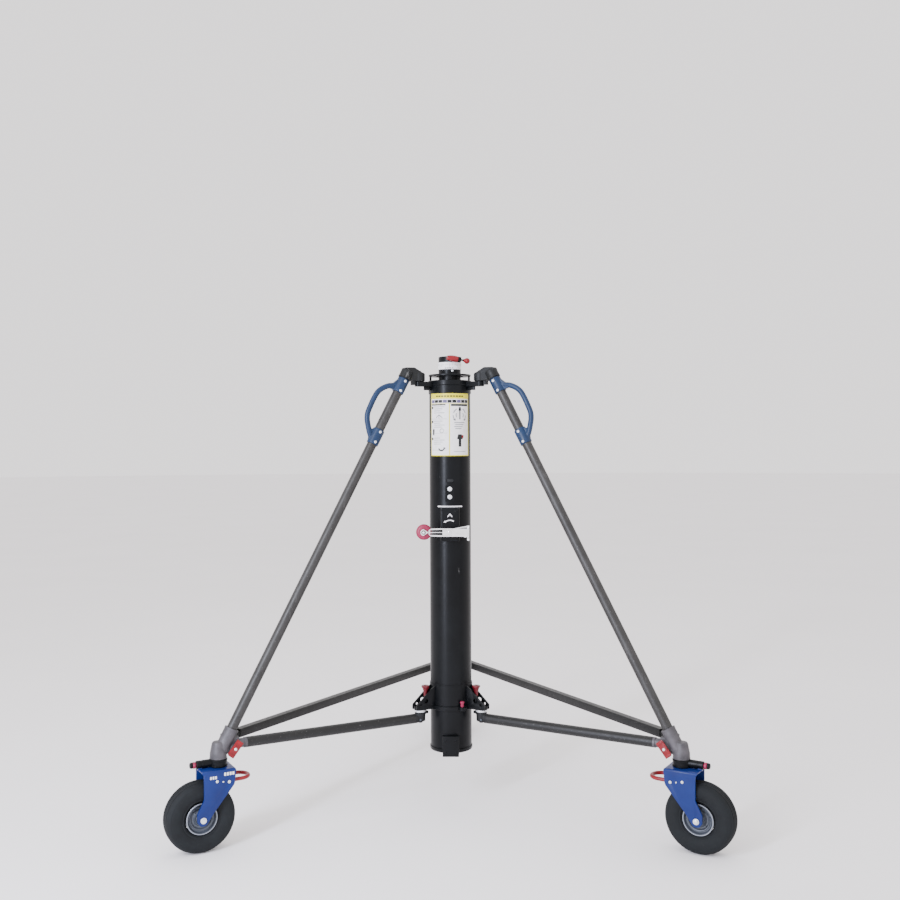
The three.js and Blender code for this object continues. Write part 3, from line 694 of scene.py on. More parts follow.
def column_marks():
    """A near-black sheet behind the slot as painted shade for the shadowed inside of the column, two chrome
    buttons, a white line, and arrows over the crank.
    """
    # painted shade: a near-black sheet just inside the column wall, behind the slot, stands in for the shadow
    # in there
    shade_sheet = bevel(block(-20, 20, -76.5, -73, SLOT["low"] - 6, SLOT["high"] + 6), 0.5, 2)
    part("slot_shade_sheet", shade_sheet, "label_ink", slot="satin_black_steel")
    for i, z in enumerate(BUTTONS["centres"]):
        button = aimed(dome_bolt(BUTTONS["r"], 3.4), (0, -BUTTONS["depth"], z), (0, -1, 0))
        part(f"column_button_{i}", button, "zinc_bolt")
    line = on_column(rounded(rectangle(-52, 52, 1208.5, 1213.5), 2), 0.25, 0.05)
    part("height_line", line, "white_enamel")
    bow = arc(0, 1128, 31, 128, 58, 14)
    inner = arc(0, 1128, 27, 58, 124, 14)
    head = [(-16.4, 1147.6), (-25.5, 1149.4), (-19.8, 1155.8)]
    arrow = plate(bow[1:] + inner + head, COVER["front"] - 0.45, COVER["front"] - 0.1, "y")
    up = plate([(-9, 1168), (0, 1179), (9, 1168), (9, 1173.5), (0, 1184.5), (-9, 1173.5)],
            COVER["front"] - 0.45, COVER["front"] - 0.1, "y")
    part("crank_arrow", merged(arrow, up), "white_enamel")


def winch_cover():
    w, front = COVER["half_width"], COVER["front"]
    outline = rounded([(-w, -60), (-w, front), (w, front), (w, -60)], [0, 9, 9, 0], 6)
    shell = bevel(plate(outline, COVER["low"], COVER["high"]), 1.6, 3, 50)
    hole = rod((0, -110, CRANK_Z), (0, -70, CRANK_Z), 7.4)
    parts = [carved(shell, solid(AROUND_COLUMN, 1000, 1300), hole)]
    for x in (-30, 30):
        for z in (COVER["low"] + 9, COVER["high"] - 9):
            parts.append(aimed(dome_bolt(3.6, 1.8), (x, front, z), (0, -1, 0)))
    part("winch_cover", merged(*parts), "black_coat", node="winch_housing")


def bottom_cap():
    lip = grown([(0, 226), (60, 224), (78, 223), (84, 225.5), (85.8, 229), (86.3, 232), (86.3, 238.5),
            (85, 239.8), (79.1, 239.8), (79.1, 254), (0, 254)], 144)
    anchor = bevel(block(-32.5, 32.5, -102, -50, 215, 297), 2.2, 3)
    parts = [lip, carved(anchor, solid(AROUND_COLUMN, 240, 400))]
    for x in (-20, 20):
        for z in (232, 278):
            parts.append(aimed(dome_bolt(5, 2.4), (x, -101.6, z), (0, -1, 0)))
    part("bottom_cap", merged(*parts), "black_coat", node="column_bottom_cap")


# ---- instruction label, in pictures only
LABEL = {"half": 91, "low": 1413, "high": 1664, "header": 22, "border": 4}


def pictograms():
    """Thin outlines on the label's two columns: the stand opened, levelled, loaded and cranked."""
    ink, grey, purple = [], [], []
    left, right = -44, 43
    for k in range(9):  # a row of plain blocks stands in for the heading
        row = ink if k % 3 else purple
        row.append(rounded(rectangle(-84 + 19 * k, -67 + 19 * k, 1626, 1638), 1.2))
    ink.append(rectangle(6, 84, 1613, 1621))
    ink.append(rectangle(-84, -16, 1616, 1621))
    for i, top in enumerate((1612, 1555, 1487)):  # steps down the left column, each with a square bullet
        ink.append(rounded(rectangle(-85, -75, top - 10, top), 1.5))
        for k in range(4):
            grey.append(rectangle(-70, -20 - 9 * ((k + i) % 3), top - 3 - 8 * k, top - 1 - 8 * k))
        grey.append(rectangle(-84, -10, top - 51, top - 50))
    # first step: a stand with its legs spread
    grey.append(rectangle(left - 1.2, left + 1.2, 1564, 1578))
    grey += [[(left, 1576), (left + s * 15, 1564), (left + s * 15, 1567.5), (left, 1580)] for s in (-1, 1)]
    # second step: a level in a circle and a plunger
    grey.append(arc(left + 12, 1514, 9, 0, 350, 24) + arc(left + 12, 1514, 7, 350, 0, 24))
    ink.append(rounded([(-76, 1496), (-69, 1496), (-67, 1518), (-72, 1524), (-78, 1518)], 2))
    # third step: a crank with its arrow
    ink.append(arc(-34, 1447, 15, 200, 340, 12) + arc(-34, 1449, 11, 340, 200, 12))
    ink.append([(-23, 1439), (-15, 1445), (-25, 1449)])
    # right column: a lamp on the stand with arrows round it, then a loaded spigot
    ink += [rounded([(right - 4, 1609), (right + 4, 1609), (right + 6, 1594), (right - 6, 1594)], 1),
            rectangle(right - 2.4, right + 2.4, 1560, 1596)]
    for s in (-1, 1):
        for radius, a0, a1 in ((30, 20, 62), (30, -42, 0), (18, -30, 30)):
            bow = arc(right, 1576, radius, a0, a1, 8) + arc(right, 1576, radius - 3.4, a1, a0, 8)
            grey.append([(right + s * (x - right), z) for x, z in bow][::s])
        ink.append([(right + s * 29, 1560), (right + s * 20, 1553), (right + s * 18, 1562)])
    for k in range(4):
        grey.append(rectangle(right - 24 + 4 * (k % 2), right + 22 - 5 * k, 1545 - 8 * k, 1548 - 8 * k))
    ink += [rounded(rectangle(right - 6, right + 6, 1450, 1482), 1.5),
            rounded([(right - 14, 1480), (right + 14, 1480), (right + 8, 1500), (right - 8, 1500)], 3)]
    grey.append(rectangle(right - 26, right + 26, 1430, 1432))
    return ink, grey, purple


def instruction_label():
    half, low, high = LABEL["half"], LABEL["low"], LABEL["high"]
    header, border = LABEL["header"], LABEL["border"]
    yellow = on_column(rounded(rectangle(-half, half, low, high), 3), 0.3, 0.05)
    part("label_backing", yellow, "label_yellow")
    panels = [rectangle(-half + border, -2, low + border, 1622),
            rectangle(2, half - border, low + border, 1622),
            rectangle(-half + border, half - border, 1624, high - header)]
    white = merged(*[on_column(rounded(p, 1.5), 0.2, 0.36) for p in panels])
    part("label_panels", white, "white_enamel")
    ink, grey, purple = pictograms()
    ink += [rectangle(-58 + 12 * k, -49 + 12 * k, high - 14, high - 9) for k in range(10)]
    accent = rounded([(52, 1484), (60, 1486), (60, 1498), (52, 1496)], 1.5)
    for name, outlines, material in (
        ("label_ink", ink, "label_ink"),
        ("label_grey", grey, "label_grey"),
        ("label_purple", purple, "label_purple"),
        ("label_accent", [accent], "signal_red"),
    ):
        art = merged(*[on_column(outline, 0.15, 0.58) for outline in outlines])
        part(name, art, material, slot="white_band")


# ---- collars
UPPER_ARM_LOW, UPPER_ARM_HIGH = 1692, 1712
LOWER_BOSS_LOW, LOWER_BOSS_HIGH = 398, 412
RING_PLUNGER = (46, -90)


def strip(x0, x1, w, steps=20):
    """An outline of half width w from x0, with a round end at x1."""
    return [(x0, w), (x0, -w)] + arc(x1 - w, 0, w, -90, 90, steps)


def upper_collar():
    parts = [
        hoop(AROUND_COLUMN, 86.5, 1665, 1698),
        hoop(57, 88, COLUMN_TOP + 0.3, 1718, 1.4),
        hoop(56.5, 86, 1736, 1743),
    ]
    for degrees in LEGS.values():
        arm = bevel(plate(strip(84, HINGE_R + 16.5, 16.5), UPPER_ARM_LOW, UPPER_ARM_HIGH), 1.6, 3)
        rib = bevel(block(84, 118, -5, 5, 1678, 1694), 1.2, 2)
        pin = rod((HINGE_R, 0, 1697), (HINGE_R, 0, 1750), PIN_R)
        parts += [turned(bm, degrees) for bm in (arm, rib, pin)]
    for degrees in (0, 90, 180, 270):
        parts.append(turned(bevel(block(74, 82.5, -8, 8, 1716, 1738), 1.0, 2), degrees))
    for k in range(6):
        screw = aimed(dome_bolt(4.2, 2.0), (87.8, 0, 1708.5), (1, 0, 0))
        parts.append(turned(screw, 30 + 60 * k + (0 if k % 2 else 30)))
    part("mast_collar", merged(*parts), "black_coat", node="upper_collar")
    for side, degrees in LEGS.items():
        nut = turned(aimed(hex_bolt(10, 6), (HINGE_R, 0, 1747.4), (0, 0, 1)), degrees)
        part(f"{side}_hinge_nut", nut, "black_coat")


def lower_collar():
    r = AROUND_COLUMN
    parts = [hoop(r, 86.8, 409, 491), hoop(r, 86, 490, 497), hoop(r, 93.5, 395, 411)]
    gusset = rounded([(84.2, LOWER_BOSS_LOW), (167, LOWER_BOSS_LOW), (167, 417), (106, 474), (84.2, 489)],
            [0, 3, 9, 6, 0], 5)
    for degrees in LEGS.values():
        bracket = [bevel(plate(gusset, y, y + 6, "y", holes=((124, 432, 9), (148, 418, 5))), 0.8, 2, 50)
                for y in (-21, 15)]
        bracket.append(bevel(plate(strip(84, HINGE_R + 25, 22), LOWER_BOSS_LOW, LOWER_BOSS_HIGH,
                holes=((PLUNGER_R, 0, 4.6),)), 1.4, 3))
        bracket.append(hoop(4.6, 9, 410, 449, 1.0, 40, x=PLUNGER_R))
        bracket.append(rod((HINGE_R, 0, 350), (HINGE_R, 0, 409), PIN_R))
        parts += [turned(bm, degrees) for bm in bracket]
    x, y = RING_PLUNGER
    parts.append(carved(hoop(5.4, 12, 397, 411, 1.0, 48, x, y), solid(r, 380, 520)))
    part("leg_collar", merged(*parts), "black_coat", node="lower_collar")
    for side, degrees in LEGS.items():
        washer = turned(hoop(9, 23, KNUCKLE_TOP + 0.6, LOWER_BOSS_LOW - 0.3, 0.9, 56, x=HINGE_R), degrees)
        part(f"{side}_hinge_washer", washer, "zinc_bolt")
        nut = turned(aimed(hex_bolt(9.5, 5), (HINGE_R, 0, 351.6), (0, 0, -1)), degrees)
        part(f"{side}_lower_nut", nut, "black_coat")


def ring_plunger():
    knob = grown([(0, 398), (4, 398), (4, 412), (6, 412.4), (6.5, 413.4), (6.5, 422), (7, 425), (8.6, 428),
            (9, 430), (8.4, 432.4), (6, 434), (0, 434)], 40)
    part("plunger_knob", moved(knob, *RING_PLUNGER), "grip_pink", "plunger", "ring_plunger")


def guide_ring():
    part("guide_ring", hoop(55.6, COLUMN_BORE - 0.3, 1640, 1690), "nylon_natural", node="mast_guide_ring")


# ---- crank
ARM_FRONT, ARM_BACK = -142, -132
KNOB_X, KNOB_BACK = -103, -101
END_BAR_X = 73


def crank():
    spool = grown([(0, 0), (29, 0), (30, 1), (30, 2.4), (26, 3.4), (26, 7.6), (30, 8.6), (30, 10), (29, 11),
            (0, 11)], 64)
    shaft = rod((0, -62, CRANK_Z), (0, -130, CRANK_Z), 6.5)
    spool = merged(aimed(spool, (0, -59, CRANK_Z), (0, -1, 0)), shaft)
    part("spool_and_shaft", spool, "turned_steel", "crank", "winch_spool")

    def at_crank(points):
        return [(x, z + CRANK_Z) for x, z in points]

    body = rounded([(-84, -14.5), (-44, -16.5), (52, -16.5), (62, -20), (70, -16.5), (76, -16.5), (76, 14.5),
            (8, 15.5), (-44, 16), (-84, 14.5)], [20, 30, 3, 4, 3, 2, 2, 20, 30, 20], 5)
    slot = rounded([(-28, 11), (-78, 9.6), (-78, 1.8), (-28, 1.2)], 2.0, 3)
    mirrored = [(x, -z) for x, z in slot]
    arm = plate(at_crank(arc(KNOB_X, 0, 12.5, 90, 270, 16) + body), ARM_FRONT, ARM_BACK, "y",
            holes=((KNOB_X, CRANK_Z, 8.6),), cuts=(at_crank(slot), at_crank(mirrored)))
    hub = grown([(0, 0), (13, 0), (15, 2), (15, 20), (13.6, 24), (0, 24)], 64)
    hub = aimed(hub, (0, -120, CRANK_Z), (0, -1, 0))
    end_bar = grown([(0, -33), (3.4, -33), (5, -31.4), (5, -25), (4.2, -24), (4.2, 19), (5, 20), (5, 25.4),
            (3.4, 27), (0, 27)], 32)
    moved(end_bar, END_BAR_X, (ARM_FRONT + ARM_BACK) / 2, CRANK_Z)
    wing = at_crank([(6, 14), (66, 25), (69, 25), (69, 19), (56, 18.5), (24, 14)])
    wing = bevel(plate(wing, -139, -135, "y"), 0.8, 2)
    pin = rod((KNOB_X, ARM_FRONT - 3, CRANK_Z), (KNOB_X, KNOB_BACK - 0.5, CRANK_Z), 5)
    bolt = aimed(dome_bolt(8.5, 3), (0, -144, CRANK_Z), (0, -1, 0))
    handle = merged(bevel(arm, 1.4, 3, 40), hub, end_bar, wing, pin, bolt)
    part("crank_handle", handle, "bright_chrome", "crank", "crank_arm")
    bush = pipe((KNOB_X, ARM_BACK + 1.5, CRANK_Z), (KNOB_X, ARM_FRONT + 5, CRANK_Z), 5.1, 9, 48)
    part("pin_bush", bush, "label_ink", "crank", slot="satin_black_steel")
    knob = grown([(5.4, 0), (20, 0), (27, 1.2), (30, 4), (31, 8), (31, 18), (29.6, 23), (26, 26.4), (20, 28),
            (5.4, 28)], 72, True)
    knob = aimed(knob, (KNOB_X, KNOB_BACK, CRANK_Z), (0, -1, 0))
    part("knob_grip", knob, "grip_pink", "knob", "crank_knob")


# ---- mast and receiver
CLAMP = {"azimuth": 290, "z": 1804, "tilt": 8, "at": 60, "ball": 54}


def mast():
    for name, body, node, r, bore, material in (
        ("middle_stage", "stage_2", "mast_stage_2", 55, 48.5, "turned_steel"),
        ("inner_stage", "stage_3", "mast_stage_3", 45.5, 39.5, "black_coat"),
    ):
        low, high = node_box(node)
        tube = pipe((0, 0, low.z), (0, 0, high.z), bore, r, 112, 0.8)
        part(name, tube, material, body, node)


def receiver():
    head = grown([(0, 1705), (39.2, 1705), (39.2, 1792.3), (44.6, 1792.3), (45.5, 1793.2), (45.5, 1812.5),
            (44.6, 1815), (42.5, 1816), (17, 1816), (14.4, 1814.2), (14.4, 1722), (0, 1722)], 112)
    hole = turned(rod((10, 0, CLAMP["z"]), (60, 0, CLAMP["z"]), 6), CLAMP["azimuth"])
    part("receiver_cap", carved(head, hole), "black_coat", "stage_3", "receiver_head")
    band = grown([(39.5, 1763.3), (46.4, 1763.3), (47, 1763.9), (47, 1791.4), (46.4, 1792), (39.5, 1792)],
            112, True)
    part("band", band, "band_enamel", "stage_3", "receiver_band")
    ticks = bmesh.new()
    for k in range(48):
        long_one = k % 6 == 0
        tick = block(46.95, 47.12, -0.55, 0.55, 1774 if long_one else 1779, 1786)
        ticks = merged(ticks, turned(tick, 7.5 * k))
    for k in range(5):
        ticks = merged(ticks, turned(block(46.95, 47.12, -2.2, 2.2, 1766, 1770.5), 250 + 9 * k))
    part("band_scale", ticks, "label_grey", "stage_3")
    bolt = turned(aimed(dome_bolt(5.5, 3.0), (45.3, 0, 1757), (1, 0, 0)), 285)
    part("band_bolt", bolt, "zinc_bolt", "stage_3")


def on_clamp(bm):
    """Puts a mesh made about the clamp screw's axis, along X, in its place on the receiver."""
    bm = turned(bm, -CLAMP["tilt"], "X")
    moved(bm, 0, 0, CLAMP["z"])
    return turned(bm, CLAMP["azimuth"])


def clamp():
    at, ball_y = CLAMP["at"], CLAMP["ball"]
    barrel = grown([(0, -32), (7, -32), (8.6, -30), (11.6, -16), (12.5, -8), (12.5, 8), (11.4, 12),
            (10.6, 22), (9.6, 25), (0, 25)], 56)
    barrel = aimed(barrel, (at, 0, 0), (0, 1, 0))
    neck = rod((46, 0, 0), (56, 0, 0), 9.5, 10.5)
    hub = on_clamp(merged(barrel, neck, rod((15.5, 0, 0), (50, 0, 0), 5)))
    part("clamp_hub", hub, "signal_red", "clamp", "clamp_screw")
    sleeve = pipe((at, 12.4, 0), (at, 26, 0), 8.2, 11.6, 40)
    rod_and_sleeve = on_clamp(merged(rod((at, 2, 0), (at, ball_y - 8, 0), 3.5), sleeve))
    part("clamp_rod", rod_and_sleeve, "black_coat", "clamp")
    ball = grown([(12 * math.sin(PI * k / 24), -12 * math.cos(PI * k / 24)) for k in range(25)], 48)
    stub = grown([(0, 0), (5, 0), (6, 2), (7, 8), (0, 8)], 32)
    ball = merged(aimed(ball, (at, ball_y, 0), (0, 1, 0)), aimed(stub, (at, ball_y - 15.5, 0), (0, 1, 0)))
    part("clamp_ball", on_clamp(ball), "signal_red", "clamp", "clamp_bar")


# ---- leg frames
def hinge_arm_mesh():
    """Boss on the hinge pin, cranked neck, stop and leg socket, run together as a casting."""
    boss = rod((HINGE_R, 0, 1712.6), (HINGE_R, 0, 1747), 23, edge=2)
    outline = rounded([(122, 1713.5), (174, 1713.5), (196, 1724), (214, 1752), (208, 1766), (168, 1767),
            (122, 1742)], [2, 8, 12, 10, 8, 14, 4], 4)
    neck = bevel(plate(outline, -18, 18, "y"), 2.5, 2, 50)
    stop = bevel(block(161, 174, -12, 12, 1697, 1716), 1.5, 2)
    body = fused(boss, neck, stop, rod(on_leg(-80), on_leg(-45), 25.3, edge=4))
    body = carved(body, rod(on_leg(-72), on_leg(20), AROUND_LEG),
            rod((HINGE_R, 0, 1690), (HINGE_R, 0, 1790), PIN_BORE))
    parts = [body, pipe(on_leg(-50), on_leg(-44), LEG_R + 0.4, 26)]
    for y in (-1, 1):
        parts.append(aimed(dome_bolt(6, 3), (190, y * 17.8, 1744), (0, y, 0)))
    return to_mesh(merged(*parts), "black_casting", CAST_SHARP)


SLEEVES = ((-42, 20), (188, 253))
BOLTS_ALONG = (-31, 12, 199, 243)
GRIP = ((-12, 14), (2, 27), (16, 47), (39, 66), (63, 76), (92, 78), (124, 77), (154, 74), (177, 64),
        (199, 47), (218, 30), (232, 14))


def handle_mesh():
    """Two sleeves bolted round the leg, joined by a bowed grip with a web at each end."""
    parts = [rod(on_leg(s0), on_leg(s1), 23.5, edge=2.5) for s0, s1 in SLEEVES]
    parts.append(sweep(smooth_path([on_leg(s, n) for s, n in GRIP], 6), circle(10.8, 28)))
    for web in ([(-38, 18), (2, 38), (22, 40), (18, 18)], [(190, 18), (204, 36), (240, 24), (250, 18)]):
        corners = [on_leg(s, n) for s, n in web]
        parts.append(bevel(plate([(c.x, c.z) for c in corners], -9, 9, "y"), 2, 2))
    for s in BOLTS_ALONG:
        parts.append(rod(on_leg(s, 0, -23.4), on_leg(s, 0, 23.4), 9, edge=1.5))
    body = fused(*parts)
    bore = rod(on_leg(-60), on_leg(280), AROUND_LEG)
    return to_mesh(carved(body, bore), "handle_blue", CAST_SHARP)


def handle_bolts_mesh():
    bolts = [aimed(dome_bolt(5.6, 3), on_leg(s, 0, y * 23.3), (0, y, 0))
            for s in BOLTS_ALONG for y in (-1, 1)]
    return to_mesh(merged(*bolts), "zinc_bolt")


def leg_tube_mesh():
    tube = pipe(on_leg(-71), on_leg(LEG_LENGTH + 54), LEG_R - TUBE_WALL, LEG_R, 72)
    return to_mesh(tube, "leg_paint")


def brace_mesh():
    tube = pipe((168, 0, BRACE_IN), (860, 0, BRACE_OUT), BRACE_R - TUBE_WALL, BRACE_R, 64)
    return to_mesh(tube, "brace_paint")


def foot_mesh(side, tie_sides, near):
    """Stem, leg socket, web and brace lug cast in one, with flat ears for the ties."""
    stem = grown([(0, 324.6), (30, 324.6), (30.4, 328), (30, 345), (26.5, 362), (23, 379), (20, 384),
            (0, 385)], 64)
    moved(stem, STEM_R)
    web = bevel(plate([(898, 350), (975, 326), (975, 373), (932, 394), (890, 394)], -16, 16, "y"), 2.5, 2)
    latch = LATCH_AT[side]
    leg_hole = (on_leg(LEG_LENGTH - 30), on_leg(LEG_LENGTH + 55), AROUND_LEG)
    body = fused(stem, rod(on_leg(LEG_LENGTH - 1.6), on_leg(LEG_LENGTH + 79), 25.6, edge=3), web,
            rod((862, 0, BRACE_OUT), (915, 0, BRACE_OUT), 16.6),
            rod(latch, latch + Vector((0, near * 29.6, 0)), 10.8))
    body = carved(body, rod(*leg_hole), rod((STEM_R, 0, 300), (STEM_R, 0, 349), 12.6),
            block(800, 1050, -60, 60, 200, 324.3))
    parts = [
        body,
        pipe(on_leg(LEG_LENGTH - 2), on_leg(LEG_LENGTH + 6), LEG_R + 0.4, 26.2),
        hoop(13, 31, 324.3, 330, 1.0, 80, x=STEM_R),
        pipe((860.4, 0, BRACE_OUT), (871, 0, BRACE_OUT), 3, 18.8),
        rod((835, 0, BRACE_OUT), (868, 0, BRACE_OUT), IN_BRACE),
    ]
    for tie_side in tie_sides:
        pin = Vector((STEM_R - TIE_PIN * math.cos(PI / 6), tie_side * TIE_PIN * 0.5, 0))
        to_socket = Vector((STEM_R - 20, 0, 0)) - pin
        for low in (TIE_Z - 16, TIE_Z + 8.5):
            ear = bevel(plate(strip(-to_socket.length, 15, 15), low, low + 7.5), 1.0, 2)
            ear = turned(ear, math.degrees(math.atan2(to_socket.y, to_socket.x)) + 180)
            parts.append(carved(moved(ear, *pin), rod(*leg_hole)))
        for end in (-1, 1):
            parts.append(aimed(hex_bolt(7.5, 4.5), pin + Vector((0, 0, TIE_Z + 16 * end)), (0, 0, end)))
    return to_mesh(merged(*parts), "cast_grey", CAST_SHARP)


def knuckle_mesh():
    top = KNUCKLE_TOP
    barrel = grown([(0, 352), (19, 352), (20.4, 353.6), (20.8, 366), (21.8, top - 4), (21.8, top - 1.4),
            (20.6, top), (0, top)], 64)
    moved(barrel, HINGE_R)
    ear = bevel(turned(plate(strip(0, 36, 13), 380, top), 180), 1.2, 2)
    moved(ear, HINGE_R)
    body = fused(barrel, rod((HINGE_R + 14, 0, BRACE_IN), (167.5, 0, BRACE_IN), 18.8, edge=1.5), ear)
    body = carved(body, solid(PIN_BORE, 330, 410, 40, HINGE_R), solid(5, 360, 410, 32, PLUNGER_R))
    plug = rod((160, 0, BRACE_IN), (196, 0, BRACE_IN + 0.2), IN_BRACE)
    return to_mesh(merged(body, plug), "black_casting", CAST_SHARP)


def knuckle_screw_mesh():
    screws = [aimed(dome_bolt(4.2, 2.6), (150, y * 19.4, 360), (0.25, y, 0)) for y in (-1, 1)]
    return to_mesh(merged(*screws), "rim_grey")


def pull_knob_mesh():
    profile = [(0, 391.8), (3.4, 391.8), (4, 392.6), (4, 449.5), (6.4, 449.5), (7.2, 450.4), (7.6, 458),
            (8.4, 466), (10, 474), (12.4, 480), (15.6, 485), (16.5, 487), (16.2, 489.4), (14.6, 491),
            (7, 491), (5, 489.4), (0, 489.2)]
    return to_mesh(moved(grown(profile, 64), PLUNGER_R), "knob_red")


def latch_mesh(side, near):
    """Pressed plate with a raised rib at each end and one round its bolt."""
    def corners(u0, u1, w0, w1):
        return [((p := LATCH_AT[side] + LATCH_ALONG * u + LATCH_ACROSS * w).x, p.z)
                for u, w in ((u0, w0), (u1, w0), (u1, w1), (u0, w1))]

    def layer(outline, low, high, edge):
        low, high = sorted((near * low, near * high))
        return bevel(plate(outline, low, high, "y"), edge, 2)

    parts = [layer(rounded(corners(-32, 32, -14, 14), [3, 3, 8, 3], 4), 31, 34.4, 0.8)]
    for u0, u1 in ((-31.4, -21), (-12, 12), (21, 31.4)):
        parts.append(layer(rounded(corners(u0, u1, -13, 10), 2, 3), 34, 36.6, 0.9))
    return to_mesh(merged(*parts), "signal_red")


def latch_bolt_mesh(side, near):
    bolt = aimed(dome_bolt(5.6, 3.6), LATCH_AT[side] + Vector((0, near * 36.5, 0)), (0, near, 0))
    return to_mesh(bolt, "zinc_bolt")


# ---- caster, about its stem, X along the trail
def swivel_housing_mesh():
    housing = grown([(12.6, 296.8), (31, 296.8), (33, 298.4), (33, 303), (31.6, 304.4), (31.6, 316),
            (33, 317.4), (33, 321.6), (31.4, 323.4), (12.6, 323.4)], 80, True)
    barrel = grown([(0, 24), (14.5, 24), (14.5, 60), (13.6, 61), (13.6, 64), (14.5, 65), (14.5, 80), (13, 82),
            (0, 82)], 56)
    cap = grown([(0, 94), (10.4, 94), (11, 95), (11, 100), (9, 103.6), (5, 105), (0, 105)], 48)
    lug = bevel(block(20, 40, -11, 11, 300, 321), 3, 3)
    across = [aimed(bm, (0, 0, LOCK_Z), (1, 0, 0)) for bm in (barrel, cap)]
    return to_mesh(merged(housing, *across, lug), "black_coat")


def lock_tip_mesh():
    tip = grown([(0, 81), (9, 81), (12.6, 84.4), (14, 86.4), (14, 91.6), (12.6, 93.6), (9, 95), (0, 95)], 48)
    for v in tip.verts:
        v.co.x *= 0.82
    return to_mesh(aimed(tip, (0, 0, LOCK_Z), (1, 0, 0)), "grip_pink")


def fork_mesh():
    """Bent plate: a crown and two cheeks that taper to the axle."""
    side = rounded([(-50, FORK_TOP + 1), (77, FORK_TOP + 1), (67, 281), (67, 197), (92, 150), (91, 120),
            (80, 106), (60, 106), (49, 122), (33, 146), (-44, 240)],
            [8, 8, 10, 20, 24, 12, 14, 14, 12, 20, 24], 7)
    crown = rounded([(-CHEEK_OUT, 90), (-CHEEK_OUT, FORK_TOP), (CHEEK_OUT, FORK_TOP), (CHEEK_OUT, 90)],
            [0, 9, 9, 0], 8)
    inner = rounded([(CHEEK_IN, 90), (CHEEK_IN, FORK_TOP - 9), (-CHEEK_IN, FORK_TOP - 9), (-CHEEK_IN, 90)],
            [0, 8, 8, 0], 6)
    bow = plate(crown + inner, -80, 110)
    bow.transform(ZXY)
    shape = carved(bow, plate(side, -70, 70, "y"), operation="INTERSECT")
    holes = [rod((TRAIL, -80, AXLE_Z), (TRAIL, 80, AXLE_Z), 8.3),
            rod((BRAKE_X, -80, BRAKE_Z), (BRAKE_X, 80, BRAKE_Z), 6.4)]
    shape = bevel(carved(shape, *holes), 0.9, 2, 40)
    tab = bevel(block(62, 76, -9, 9, 290, 301), 1.2, 2)
    return to_mesh(merged(shape, solid(12, FORK_TOP - 4, 346, 40), tab), "fork_blue", 40)


def fork_bolts_mesh():
    bolts = [aimed(dome_bolt(r, 3), (x, y * (CHEEK_OUT - 0.1), z), (0, y, 0))
            for x, z, r in ((BRAKE_X, BRAKE_Z, 5.8), (20, 257, 5.4), (-2, 253, 3)) for y in (-1, 1)]
    return to_mesh(merged(*bolts), "zinc_bolt")


def cheek_bars_mesh():
    """Two groups of plain white bars painted on the outside of a cheek."""
    y0, y1 = CHEEK_OUT + 0.05, CHEEK_OUT + 0.3
    bars = [block(x, x + 6, y0, y1, 267, 277) for x in (22, 31, 40)]
    bars += [block(x, x + 7, y0, y1, 274, 285) for x in (-42, -32, -22, -12)]
    return to_mesh(merged(*bars), "white_enamel")


def brake_mesh():
    x, z, half, bend = BRAKE_X, BRAKE_Z, 38, -72
    path = [Vector((x, -half, z)), Vector((-60, -half, z))]
    path += [Vector((bend - 38 * math.sin(PI * k / 20), -half * math.cos(PI * k / 20), z)) for k in range(21)]
    path += [Vector((-60, half, z)), Vector((x, half, z))]
    shaft = rod((x, -53, z), (x, 53, z), 5.8)
    shoe = bevel(block(-28, -7, -14, 14, 237, 248), 2, 3)
    return to_mesh(merged(sweep(path, circle(7, 24)), shaft, shoe), "signal_red")


def axle_mesh():
    parts = [rod((TRAIL, -60, AXLE_Z), (TRAIL, 60, AXLE_Z), 8)]
    for y in (-1, 1):
        parts.append(pipe((TRAIL, y * 56.3, AXLE_Z), (TRAIL, y * 58.4, AXLE_Z), 7, 11, 48, 0.5))
        parts.append(aimed(hex_bolt(8.8, 5.4, washer=False), (TRAIL, y * 58.2, AXLE_Z), (0, y, 0)))
    return to_mesh(merged(*parts), "zinc_bolt")


def wheel_round(half, segments):
    """A ring turned about the axle, whose section is the same on both sides."""
    outline = [(r, -y) for r, y in half] + [(r, y) for r, y in reversed(half)]
    return aimed(grown(outline, segments, True), (0, 0, 0), (0, 1, 0))


def rim_mesh():
    """Pressed two-piece rim: stepped rings, rolled bead seats, clamp bolts, a valve and a hub."""
    face = [(8.7, 47), (15.6, 47), (17, 45.6), (17, 30), (19, 28), (21, 28), (22.4, 30), (24, 30), (26, 26),
            (29, 23), (34, 22.4), (37, 25), (38.4, 28), (41, 28.6), (43, 26.4), (46, 26.4), (48.5, 30),
            (50, 34), (51.4, 35.6), (54.6, 35.6), (55.8, 34.4), (55.6, 32), (53.4, 29), (52.6, 24)]
    valve = rod((42, -26, 12), (47, -37, 14), 2.6, 1.9, 20)
    parts = [wheel_round(face, 112), valve]
    for k in range(4):
        a = PI / 4 + PI / 2 * k
        for y in (-1, 1):
            bolt = hex_bolt(4.6, 3.6, washer=False)
            parts.append(aimed(bolt, (31 * math.cos(a), y * 22.4, 31 * math.sin(a)), (0, y, 0)))
    return to_mesh(moved(merged(*parts), TRAIL, 0, AXLE_Z), "rim_grey", 38)


def rim_lip_mesh():
    lips = [pipe((TRAIL, y * 34.6, AXLE_Z), (TRAIL, y * 36.4, AXLE_Z), 52.6, 56.4, 96, 0.8) for y in (-1, 1)]
    return to_mesh(merged(*lips), "rim_edge")


